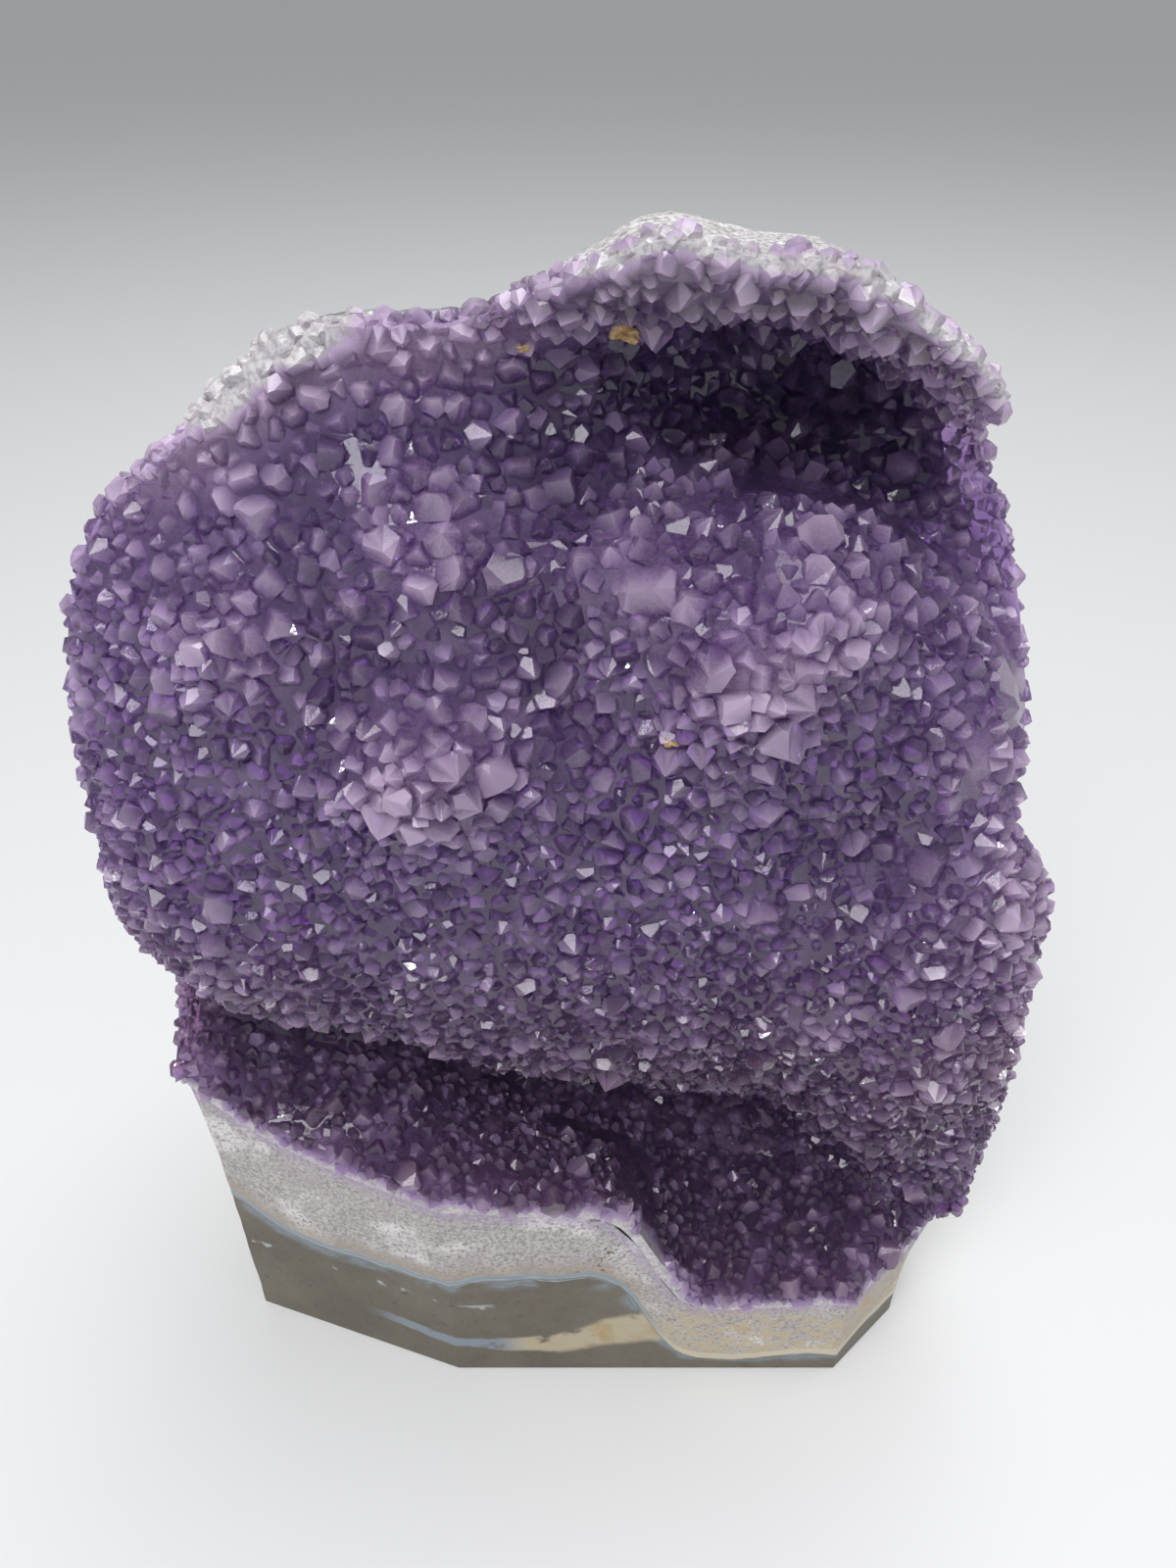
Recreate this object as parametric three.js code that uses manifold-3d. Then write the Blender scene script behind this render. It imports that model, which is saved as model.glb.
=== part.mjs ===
// Amethyst geode with a sawn base: a slab of rock that stands upright with its crystal-lined face to
// the front.
//
// Its solids are the layers that such a cavity grows, from the front to the back: a crust of amethyst
// crystals, white quartz, a band of blue-grey agate, and the grey basalt that the cavity formed in. The
// lowest part of the front is sawn and polished, so every layer ends there in a flat face.
//
// Units are millimetres. +X is to the right, -Y to the front and +Z up. The sawn base lies on z = 0.

import * as THREE from 'three';
import { ImprovedNoise } from 'three/addons/math/ImprovedNoise.js';
import { mergeVertices } from 'three/addons/utils/BufferGeometryUtils.js';
import Module from 'manifold-3d';

const wasm = await Module();
wasm.setup();

// Layers, measured into the rock from the crystals' surface
const CRUST_THICKNESS = 7;
const QUARTZ_ON_WALL = 8;
const AGATE_THICKNESS = 2.4;
const LAYER_GAP = 0.3;
const THROUGH_THE_ROCK = 150;

// The open face is a loft through upright sections. Each section climbs through the same fourteen
// levels: before the sawn front, at it, the shelf, the groove behind the shelf, under the belly, three
// up the belly, the belly's top, and five for the hollow and its rim, or for the wall above the belly.
// A point is [y, z], and lip is how thick the white quartz lies under the shelf.
const SECTIONS = [
  { x: -96, lip: 27, points: [[-74, 68], [-52, 80], [-38, 92], [-20, 106], [-23, 116], [-26, 126],
    [-27, 144], [-26, 160], [-23, 176], [-21, 190], [-19, 204], [-18, 218], [-16, 234],
    [-16, 250]] },
  { x: -66, lip: 28, points: [[-74, 66], [-52, 69], [-38, 76], [-22, 87], [-31, 99], [-40, 111],
    [-45, 134], [-45, 156], [-42, 176], [-38, 190], [-35, 202], [-32, 216], [-30, 234],
    [-30, 250]] },
  { x: -38, lip: 26, points: [[-74, 65], [-52, 67], [-38, 71], [-21, 76], [-30, 90], [-42, 102],
    [-49, 130], [-50, 158], [-47, 182], [-43, 196], [-39, 208], [-37, 220], [-36, 234],
    [-36, 250]] },
  { x: -12, lip: 20, points: [[-74, 63], [-52, 65], [-36, 63], [-19, 56], [-22, 74], [-38, 88],
    [-48, 114], [-50, 150], [-47, 186], [-40, 198], [-35, 206], [-33, 214], [-38, 223],
    [-39, 238]] },
  { x: 6, lip: 19, points: [[-74, 61], [-52, 62], [-36, 54], [-16, 44], [-18, 66], [-36, 81],
    [-47, 108], [-50, 148], [-47, 190], [-30, 199], [-25, 206], [-28, 213], [-44, 221],
    [-45, 237]] },
  { x: 20, lip: 18, points: [[-74, 33], [-52, 34], [-34, 34], [-13, 36], [-15, 58], [-33, 74],
    [-45, 102], [-50, 144], [-46, 192], [-18, 198], [-14, 207], [-23, 213], [-45, 221],
    [-46, 237]] },
  { x: 38, lip: 18, points: [[-74, 31], [-52, 32], [-34, 33], [-13, 35], [-14, 54], [-31, 70],
    [-44, 98], [-49, 138], [-46, 189], [-18, 194], [-13, 202], [-20, 208], [-44, 215],
    [-45, 232]] },
  { x: 54, lip: 17, points: [[-74, 30], [-52, 33], [-36, 34], [-20, 37], [-22, 54], [-34, 68],
    [-45, 96], [-48, 132], [-44, 176], [-25, 187], [-20, 194], [-23, 199], [-38, 205],
    [-39, 222]] },
  { x: 70, lip: 14, points: [[-70, 24], [-50, 28], [-38, 33], [-28, 40], [-28, 54], [-35, 68],
    [-41, 94], [-41, 124], [-34, 150], [-26, 168], [-23, 180], [-23, 192], [-27, 206],
    [-28, 222]] },
  { x: 96, lip: 12, points: [[-64, 14], [-48, 20], [-38, 28], [-28, 38], [-26, 52], [-26, 68],
    [-26, 94], [-24, 120], [-18, 146], [-15, 162], [-13, 176], [-12, 192], [-12, 212],
    [-12, 232]] },
];
const TOP_LEVEL = SECTIONS[0].points.length - 1;
const LEVELS_WITH_LIP = 2;
const LEVEL_AT_WALL = 5;

// Which way the layers run into the rock at each level, in degrees: 0 is straight back, -90 down and 90
// up. The second row is added around the hollow, whose floor, wall and roof each face another way.
const INWARD = [-84, -82, -68, -42, -14, -4, 0, 0, 0, 0, 0, 0, 0, 0];
const INWARD_AT_HOLLOW = [0, 0, 0, 0, 0, 0, 0, 0, -25, -30, 34, 68, 58, 38];
const HOLLOW_CENTRE_X = 27;
const HOLLOW_HALF_WIDTH = 44;
const HOLLOW_BLEND = 0.5;

// Swells of the crystal surface, with the number of larger crystals that crown each
const SWELLS = [
  { x: -22, z: 195, radius: 13, rise: 4, crystals: 4 },
  { x: 8, z: 190, radius: 12, rise: 4, crystals: 4 },
  { x: -46, z: 181, radius: 12, rise: 5, crystals: 4 },
  { x: -22, z: 164, radius: 13, rise: 8, crystals: 6 },
  { x: 21, z: 178, radius: 12, rise: 8, crystals: 6 },
  { x: 31, z: 187, radius: 9, rise: 5, crystals: 3 },
  { x: 56, z: 164, radius: 9, rise: 6, crystals: 3 },
  { x: 66, z: 132, radius: 16, rise: 5, crystals: 4 },
  { x: 38, z: 104, radius: 8, rise: 3, crystals: 1 },
  { x: 62, z: 92, radius: 12, rise: 3, crystals: 1 },
  { x: -58, z: 118, radius: 14, rise: 3, crystals: 1 },
  { x: 0, z: 181, radius: 12, rise: -5, crystals: 0 },
  { x: -36, z: 176, radius: 9, rise: -3, crystals: 0 },
  { x: 46, z: 152, radius: 12, rise: -5, crystals: 0 },
];

// The carpet of crystals: how far apart they stand, how high they rise, how far they are shaken out of
// line, and how deep the carpet goes before the quartz's front cuts it
const CRYSTAL_PITCH = 10.8;
const CRYSTAL_RISE = 5;
const CRYSTAL_SHAKE = 0.42 * CRYSTAL_PITCH;
const CRYSTAL_LEAN = 2.4;
const CARPET_DEPTH = 12;
const CARPET_MIDDLE_X = -12;

// The larger crystals on the swells and the rim: radius and length, each with its spread
const SWELL_CRYSTAL = { radius: 3.1, radiusSpread: 1.3, length: 4.5, lengthSpread: 1.5 };
const RIM_CRYSTAL = { radius: 3, radiusSpread: 1.1, length: 2.5, lengthSpread: 1.5 };
const CRYSTAL_ROOT = 2;
const SWELL_CRYSTAL_TURN = 2.4;
const RIM_CRYSTAL_STEP = 14;
const RIM_CRYSTAL_ROOT = { y: 2.5, z: -1 };
const RIM_INSET = 3;

// The slab's outline seen from the front, as [x, z] from the lower left corner, up, over the top and
// down again, and the middle that its rough back swells away from
const OUTLINE = [
  [-76, -6], [-76, 26], [-77, 62], [-79, 86], [-81.5, 108], [-81, 124], [-78, 144], [-76.5, 162],
  [-72, 182], [-64, 196], [-52, 206], [-43, 214], [-36, 218.5], [-16, 219.5], [-8, 222.5], [2, 228],
  [9, 230.5], [20, 228.5], [30, 227.5], [38, 222.5], [47, 216], [52, 209], [55, 196], [61, 183],
  [64, 168], [64, 150], [69, 141], [75, 132], [78, 118], [80, 100], [83, 78], [84, 50], [81, 32],
  [72, 20], [71, -6],
];
const SLAB_MIDDLE_Z = 90;

// The sawn faces at the foot: the corners of each one's lower edge as [x, y], from left to right, and
// how high the saw reached
const SAWN_FACES = [
  { left: [-77, -34], right: [-29, -50], height: 82 },
  { left: [-29, -50], right: [55, -50], height: 82 },
  { left: [55, -50], right: [73, -34], height: 34 },
];
const SAW_BLOCK = { size: 400, depth: 60 };

// The natural back: how far back each ring of the slab lies, and how far its sides and top have drawn
// in there
const RINGS = [
  { y: -62, side: 0, top: 0 },
  { y: -30, side: 0, top: 0 },
  { y: -12, side: 0.01, top: 0.01 },
  { y: 2, side: 0.05, top: 0.03 },
  { y: 15, side: 0.12, top: 0.08 },
  { y: 27, side: 0.22, top: 0.18 },
  { y: 36, side: 0.36, top: 0.32 },
  { y: 42, side: 0.58, top: 0.52 },
];
const FRONT_RINGS = 1;
const RING_LUMP_GROWTH = 2;
const RING_BACKWARD = 2.5;
const ROCK_LUMP = { size: 42, height: 9 };
const ROCK_CHIP = { size: 13, height: 4 };

// Number of faces across and up the sheets between the layers
const SHEET_COLUMNS = 11;
const SHEET_ROWS = 16;

const noise = new ImprovedNoise();

// A seeded stream of numbers from 0 to 1, so that the crystals come out alike each time
function seededRandom(seed) {
  let state = seed;
  return () => {
    state = (Math.imul(state, 1664525) + 1013904223) >>> 0;
    return state / 4294967296;
  };
}

// Smooth curve through a list of equally spaced values, read at a place between them
function smoothBetween(values, place) {
  const last = values.length - 1;
  const start = Math.min(Math.max(Math.floor(place), 0), last - 1);
  const t = place - start;
  const before = values[Math.max(start - 1, 0)];
  const from = values[start];
  const to = values[start + 1];
  const after = values[Math.min(start + 2, last)];
  const bend = 2 * before - 5 * from + 4 * to - after;
  const twist = 3 * (from - to) + after - before;
  return from + 0.5 * t * (to - before + t * (bend + t * twist));
}

function straightBetween(values, place) {
  const start = Math.min(Math.max(Math.floor(place), 0), values.length - 2);
  return values[start] + (values[start + 1] - values[start]) * (place - start);
}

function sectionPlace(x) {
  const next = SECTIONS.findIndex((section) => section.x >= x);
  const start = next < 0 ? SECTIONS.length - 2 : Math.max(next - 1, 0);
  return start + (x - SECTIONS[start].x) / (SECTIONS[start + 1].x - SECTIONS[start].x);
}

// A place on the crystals' mean surface and the way into the rock there
function openFace(x, level) {
  const place = sectionPlace(x);
  const [y, z] = [0, 1].map((axis) => {
    const values = SECTIONS.map(({ points }) => smoothBetween(points.map((point) => point[axis]), level));
    return smoothBetween(values, place);
  });
  const inHollow = 1 - Math.abs(x - HOLLOW_CENTRE_X) / HOLLOW_HALF_WIDTH;
  const hollow = THREE.MathUtils.smoothstep(inHollow, 0, HOLLOW_BLEND);
  const degrees = straightBetween(INWARD, level) + hollow * straightBetween(INWARD_AT_HOLLOW, level);
  const angle = THREE.MathUtils.degToRad(degrees);
  const inward = new THREE.Vector3(0, Math.cos(angle), Math.sin(angle));
  const point = new THREE.Vector3(x, y, z);
  for (const swell of SWELLS) {
    const reach = Math.hypot(x - swell.x, z - swell.z) / swell.radius;
    point.addScaledVector(inward, -swell.rise * Math.exp(-reach * reach));
  }
  return { point, inward };
}

// The level, above the groove, at which the open face reaches a height
function levelAtHeight(x, height) {
  let low = LEVEL_AT_WALL - 1;
  let high = TOP_LEVEL;
  for (let step = 0; step < 20; step += 1) {
    const middle = (low + high) / 2;
    if (openFace(x, middle).point.z < height) {
      low = middle;
    } else {
      high = middle;
    }
  }
  return low;
}

function quartzThickness(x, level) {
  const lip = straightBetween(SECTIONS.map((section) => section.lip), sectionPlace(x));
  const rise = THREE.MathUtils.smoothstep(level, LEVELS_WITH_LIP, LEVEL_AT_WALL);
  return THREE.MathUtils.lerp(lip, QUARTZ_ON_WALL, rise);
}

// Depth of each layer's front below the crystals' surface
const depthOf = {
  quartz: () => CRUST_THICKNESS,
  agate: (x, level) => CRUST_THICKNESS + quartzThickness(x, level),
  basalt: (x, level) => CRUST_THICKNESS + quartzThickness(x, level) + AGATE_THICKNESS,
};

function geometryFrom(corners, faces) {
  const geometry = new THREE.BufferGeometry();
  const numbers = corners.flatMap((corner) => [corner.x, corner.y, corner.z]);
  geometry.setAttribute('position', new THREE.Float32BufferAttribute(numbers, 3));
  geometry.setIndex(faces.flat());
  return geometry;
}

// A closed mesh as a solid that can be joined and cut
function solidFrom(geometry) {
  const bare = geometry.clone();
  bare.deleteAttribute('normal');
  bare.deleteAttribute('uv');
  const merged = mergeVertices(bare, 1e-4);
  const index = Array.from(merged.index.array);
  const kept = [];
  for (let i = 0; i < index.length; i += 3) {
    const [a, b, c] = index.slice(i, i + 3);
    if (a !== b && b !== c && c !== a) {
      kept.push(a, b, c);
    }
  }
  const mesh = new wasm.Mesh({
    numProp: 3,
    vertProperties: new Float32Array(merged.attributes.position.array),
    triVerts: new Uint32Array(kept),
  });
  return new wasm.Manifold(mesh);
}

// A solid as a flat-shaded geometry
function geometryOf(solid) {
  const mesh = solid.getMesh();
  const geometry = new THREE.BufferGeometry();
  geometry.setAttribute('position', new THREE.Float32BufferAttribute(mesh.vertProperties, 3));
  geometry.setIndex(new THREE.Uint32BufferAttribute(mesh.triVerts, 1));
  const flat = geometry.toNonIndexed();
  flat.computeVertexNormals();
  return flat;
}

// Everything in the rock behind one layer's front, as one solid
function rockBehind(depth) {
  const across = SHEET_COLUMNS + 1;
  const corners = [];
  for (const far of [false, true]) {
    for (let row = 0; row <= SHEET_ROWS; row += 1) {
      for (let column = 0; column <= SHEET_COLUMNS; column += 1) {
        const x = THREE.MathUtils.lerp(SECTIONS[0].x, SECTIONS.at(-1).x, column / SHEET_COLUMNS);
        const level = (TOP_LEVEL * row) / SHEET_ROWS;
        const { point, inward } = openFace(x, level);
        corners.push(point.addScaledVector(inward, far ? THROUGH_THE_ROCK : depth(x, level)));
      }
    }
  }
  const behind = across * (SHEET_ROWS + 1);
  const faces = [];
  const addFace = (a, b, c, d) => faces.push([a, b, c], [a, c, d]);
  for (let row = 0; row < SHEET_ROWS; row += 1) {
    for (let column = 0; column < SHEET_COLUMNS; column += 1) {
      const a = row * across + column;
      addFace(a, a + 1, a + 1 + across, a + across);
      addFace(behind + a, behind + a + across, behind + a + 1 + across, behind + a + 1);
    }
  }
  for (let column = 0; column < SHEET_COLUMNS; column += 1) {
    const top = SHEET_ROWS * across + column;
    addFace(column, column + behind, column + 1 + behind, column + 1);
    addFace(top, top + 1, top + 1 + behind, top + behind);
  }
  for (let row = 0; row < SHEET_ROWS; row += 1) {
    const left = row * across;
    const right = left + SHEET_COLUMNS;
    addFace(left, left + across, left + across + behind, left + behind);
    addFace(right, right + behind, right + across + behind, right + across);
  }
  return solidFrom(geometryFrom(corners, faces));
}

function roughness(place, { size, height }) {
  return height * noise.noise(place.x / size, place.y / size, place.z / size);
}

// The whole slab before it is parted into layers: rings of the outline that draw in towards a rounded
// back
function slab() {
  const corners = [];
  RINGS.forEach((ring, count) => {
    for (const [x, z] of OUTLINE) {
      const place = new THREE.Vector3(x * (1 - ring.side), ring.y, z * (z > 0 ? 1 - ring.top : 1));
      const lump = RING_LUMP_GROWTH * ring.side * roughness(place, ROCK_LUMP);
      const swell = lump + roughness(place, ROCK_CHIP);
      const outward = new THREE.Vector3(x, 0, z - SLAB_MIDDLE_Z).normalize();
      outward.y = RING_BACKWARD * ring.side;
      if (count > FRONT_RINGS) {
        place.addScaledVector(outward, swell);
      }
      corners.push(place);
    }
  });
  const around = OUTLINE.length;
  const faces = [];
  for (let ring = 0; ring < RINGS.length - 1; ring += 1) {
    for (let i = 0; i < around; i += 1) {
      const next = (i + 1) % around;
      const [a, b] = [ring * around + i, ring * around + next];
      faces.push([a, b, b + around], [a, b + around, a + around]);
    }
  }
  const outline = OUTLINE.map(([x, z]) => new THREE.Vector2(x, z));
  const lastRing = (RINGS.length - 1) * around;
  for (const cap of THREE.ShapeUtils.triangulateShape(outline, [])) {
    const clockwise = THREE.ShapeUtils.isClockWise(cap.map((corner) => outline[corner]));
    const [a, b, c] = clockwise ? [...cap].reverse() : cap;
    faces.push([a, b, c], [lastRing + c, lastRing + b, lastRing + a]);
  }
  return solidFrom(geometryFrom(corners, faces));
}

// What the saw took away: everything below the base and in front of the upright faces at the foot
function sawCuts() {
  const { size, depth } = SAW_BLOCK;
  let cuts = solidFrom(new THREE.BoxGeometry(size, size, size).translate(0, 0, -size / 2));
  for (const face of SAWN_FACES) {
    const [left, right] = [new THREE.Vector2(...face.left), new THREE.Vector2(...face.right)];
    const middle = left.clone().add(right).divideScalar(2);
    const turn = Math.atan2(right.y - left.y, right.x - left.x);
    const front = new THREE.BoxGeometry(size, depth, 2 * face.height)
      .translate(0, -depth / 2, 0)
      .rotateZ(turn)
      .translate(middle.x, middle.y, 0);
    cuts = cuts.add(solidFrom(front));
  }
  return cuts;
}

// One six-sided crystal with a pointed end, standing on a place and leaning along an axis
function crystal(place, axis, kind, random) {
  const radius = kind.radius + kind.radiusSpread * random();
  const length = kind.length + kind.lengthSpread * random();
  const tip = radius * (1.1 + 0.4 * random());
  const profile = [[0, 0], [radius, 0], [0.95 * radius, length], [0, length + tip]];
  const geometry = new THREE.LatheGeometry(profile.map(([r, h]) => new THREE.Vector2(r, h)), 6);
  const up = new THREE.Vector3(0, 1, 0);
  const turn = new THREE.Quaternion().setFromUnitVectors(up, axis.clone().normalize());
  const spin = new THREE.Quaternion().setFromAxisAngle(up, random() * Math.PI);
  geometry.applyQuaternion(turn.multiply(spin));
  geometry.translate(place.x, place.y, place.z);
  return solidFrom(geometry);
}

// The carpet of crystals: seeds stand on a shaken triangular grid, and each is a six-sided point
// between the valleys where three seeds meet
function carpet(random) {
  const rowHeight = CRYSTAL_PITCH * Math.sqrt(0.75);
  const middle = [];
  const fine = 8;
  for (let step = 0; step <= TOP_LEVEL * fine; step += 1) {
    middle.push(openFace(CARPET_MIDDLE_X, step / fine).point);
  }
  const climbed = [0];
  for (let step = 1; step < middle.length; step += 1) {
    climbed.push(climbed[step - 1] + middle[step].distanceTo(middle[step - 1]));
  }
  const levelAfter = (distance) => {
    const after = climbed.findIndex((value) => value >= distance);
    const next = THREE.MathUtils.clamp(after, 1, climbed.length - 1);
    const part = (distance - climbed[next - 1]) / (climbed[next] - climbed[next - 1]);
    return (next - 1 + part) / fine;
  };
  const span = SECTIONS.at(-1).x - SECTIONS[0].x;
  const columns = Math.floor(span / CRYSTAL_PITCH);
  const rows = Math.floor(climbed.at(-1) / rowHeight);
  const seeds = [];
  for (let row = 0; row <= rows; row += 1) {
    for (let column = 0; column <= columns; column += 1) {
      const x = SECTIONS[0].x + (column + 0.5 * (row % 2)) * CRYSTAL_PITCH + CRYSTAL_SHAKE * (random() - 0.5);
      const climb = row * rowHeight + CRYSTAL_SHAKE * (random() - 0.5);
      seeds.push({ x, climb: THREE.MathUtils.clamp(climb, 0, climbed.at(-1)), valleys: [] });
    }
  }
  const corners = [];
  const across = columns + 1;
  for (let row = 0; row < rows; row += 1) {
    for (let column = 0; column < columns; column += 1) {
      const a = row * across + column;
      const shift = row % 2;
      const triangles = [[a, a + 1, a + across + shift], [a + 1 - shift, a + across + 1, a + across]];
      for (const triangle of triangles) {
        const x = triangle.reduce((sum, seed) => sum + seeds[seed].x, 0) / 3;
        const climb = triangle.reduce((sum, seed) => sum + seeds[seed].climb, 0) / 3;
        const { point, inward } = openFace(x, levelAfter(climb));
        triangle.forEach((seed) => seeds[seed].valleys.push({ corner: corners.length, x, climb }));
        corners.push({ front: point.clone(), back: point.clone().addScaledVector(inward, CARPET_DEPTH) });
      }
    }
  }
  const valleyCount = corners.length;
  const places = [...corners.map((corner) => corner.front), ...corners.map((corner) => corner.back)];
  const faces = [];
  const edges = new Map();
  for (const seed of seeds.filter((one) => one.valleys.length === 6)) {
    const turnOf = (valley) => Math.atan2(valley.climb - seed.climb, valley.x - seed.x);
    const ring = [...seed.valleys].sort((a, b) => turnOf(a) - turnOf(b)).map((valley) => valley.corner);
    const { point, inward } = openFace(seed.x, levelAfter(seed.climb));
    const lean = new THREE.Vector3(random() - 0.5, random() - 0.5, random() - 0.5);
    lean.multiplyScalar(CRYSTAL_LEAN);
    point.addScaledVector(inward, -CRYSTAL_RISE * (0.65 + 0.7 * random())).add(lean);
    const apex = places.push(point) - 1;
    for (let i = 0; i < ring.length; i += 1) {
      const next = ring[(i + 1) % ring.length];
      faces.push([apex, ring[i], next]);
      edges.set(`${ring[i]} ${next}`, [ring[i], next]);
      if (i > 0 && i < ring.length - 1) {
        faces.push([ring[0], next, ring[i]].map((corner) => corner + valleyCount));
      }
    }
  }
  for (const [a, b] of edges.values()) {
    if (!edges.has(`${b} ${a}`)) {
      faces.push([a, a + valleyCount, b + valleyCount], [a, b + valleyCount, b]);
    }
  }
  return solidFrom(geometryFrom(places, faces));
}

// Larger crystals that crown the swells, fanned out from each one's middle
function swellCrystals(random) {
  const found = [];
  for (const swell of SWELLS) {
    for (let i = 0; i < swell.crystals; i += 1) {
      const turn = i * SWELL_CRYSTAL_TURN;
      const out = 0.55 * swell.radius * Math.sqrt((i + 0.3) / swell.crystals);
      const [x, z] = [swell.x + out * Math.cos(turn), swell.z + out * Math.sin(turn)];
      const { point, inward } = openFace(x, levelAtHeight(x, z));
      const spread = new THREE.Vector3(Math.cos(turn), 0, Math.sin(turn)).multiplyScalar(0.09 * out);
      const axis = spread.sub(inward);
      found.push(crystal(point.addScaledVector(inward, CRYSTAL_ROOT), axis, SWELL_CRYSTAL, random));
    }
  }
  return found;
}

// Crystals that stand out over the broken rim, round the outline from the sawn face on the left to the
// sawn foot at the right
function rimCrystals(random) {
  const edgePoints = OUTLINE.map(([x, z]) => new THREE.Vector3(x, 0, z));
  const outline = new THREE.CatmullRomCurve3(edgePoints, false, 'centripetal');
  const steps = Math.round(outline.getLength() / RIM_CRYSTAL_STEP);
  const found = [];
  for (let step = 0; step <= steps; step += 1) {
    const edge = outline.getPointAt(step / steps);
    const along = outline.getTangentAt(step / steps);
    const outward = new THREE.Vector3(-along.z, 0, along.x);
    const place = edge.clone().addScaledVector(outward, -RIM_INSET);
    const sawnHeight = (place.x < 0 ? SAWN_FACES[0] : SAWN_FACES.at(-1)).height;
    if (place.z >= sawnHeight) {
      const { point, inward } = openFace(place.x, levelAtHeight(place.x, place.z));
      const axis = outward.multiplyScalar(0.35 + 0.3 * random()).sub(inward);
      axis.y -= 0.3;
      const start = new THREE.Vector3(place.x, point.y + RIM_CRYSTAL_ROOT.y, place.z + RIM_CRYSTAL_ROOT.z);
      found.push(crystal(start, axis, RIM_CRYSTAL, random));
    }
  }
  return found;
}

function joined(solids) {
  return solids.reduce((whole, solid) => whole.add(solid));
}

function layeredSlab() {
  const random = seededRandom(20);
  const cuts = sawCuts();
  const whole = slab().subtract(cuts);
  const layer = (front, back) => {
    const solid = whole.intersect(rockBehind((x, level) => front(x, level) + LAYER_GAP));
    return back ? solid.subtract(rockBehind(back)) : solid;
  };
  const bed = carpet(random).intersect(slab());
  const crystals = joined([bed, ...swellCrystals(random), ...rimCrystals(random)]);
  return {
    basalt_matrix: layer(depthOf.basalt),
    agate_band: layer(depthOf.agate, depthOf.basalt),
    quartz_band: layer(depthOf.quartz, depthOf.agate),
    amethyst_crust: crystals.subtract(rockBehind(depthOf.quartz)).subtract(cuts),
  };
}

const FINISHES = {
  basalt_matrix: { color: 0x7d766a, roughness: 0.85, metalness: 0 },
  agate_band: { color: 0x93a3b0, roughness: 0.3, metalness: 0 },
  quartz_band: { color: 0xcfc9c4, roughness: 0.45, metalness: 0 },
  amethyst_crust: { color: 0x6c5190, roughness: 0.15, metalness: 0 },
};

// The largest of the bodies that a cut leaves: the others are crumbs
function mainBody(solid) {
  return solid.decompose().reduce((largest, body) => (body.volume() > largest.volume() ? body : largest));
}

const geode = new THREE.Group();
for (const [name, solid] of Object.entries(layeredSlab())) {
  const finish = new THREE.MeshStandardMaterial(FINISHES[name]);
  const mesh = new THREE.Mesh(geometryOf(mainBody(solid)), finish);
  mesh.name = name;
  geode.add(mesh);
}

// The frame's origin is the middle of the base
const middle = new THREE.Box3().setFromObject(geode).getCenter(new THREE.Vector3());
geode.position.set(-middle.x, -middle.y, 0);

export default geode;
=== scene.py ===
"""Looks of an amethyst geode that stands on its sawn base.

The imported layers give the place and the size. Each layer is modelled again in finer form from the same
sections: basalt behind, a thin band of agate, white quartz, and the crust of amethyst crystals in front.
Tables are in millimetres, as the solids' own source has them, and every mesh is in metres in the frame of
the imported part.
"""

import logging
import math
from dataclasses import dataclass, field
from enum import Enum

import bpy
import numpy as np
from mathutils import Matrix, Vector, noise
from mathutils.bvhtree import BVHTree
from mathutils.kdtree import KDTree


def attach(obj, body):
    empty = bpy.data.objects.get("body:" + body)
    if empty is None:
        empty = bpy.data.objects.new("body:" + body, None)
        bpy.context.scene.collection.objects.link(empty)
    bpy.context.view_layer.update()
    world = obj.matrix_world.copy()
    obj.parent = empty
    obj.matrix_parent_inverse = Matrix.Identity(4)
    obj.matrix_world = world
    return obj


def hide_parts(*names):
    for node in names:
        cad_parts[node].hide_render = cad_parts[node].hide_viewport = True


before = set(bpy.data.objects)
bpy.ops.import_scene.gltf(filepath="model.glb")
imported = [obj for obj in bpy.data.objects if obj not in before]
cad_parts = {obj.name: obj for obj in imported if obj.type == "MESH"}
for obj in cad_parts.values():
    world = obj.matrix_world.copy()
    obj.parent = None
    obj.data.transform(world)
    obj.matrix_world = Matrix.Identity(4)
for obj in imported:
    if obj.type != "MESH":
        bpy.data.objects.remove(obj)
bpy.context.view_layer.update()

LOG = logging.getLogger("geode")

# From the tables' millimetres to the frame: the middle of the base is the origin
MIDDLE = np.array([-1.47, 9.4, 0.0])
MM = 0.001
# How near a point counts as lying on a sawn face, in millimetres
TOUCHING = 0.05
Colour = tuple[float, float, float]

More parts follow.
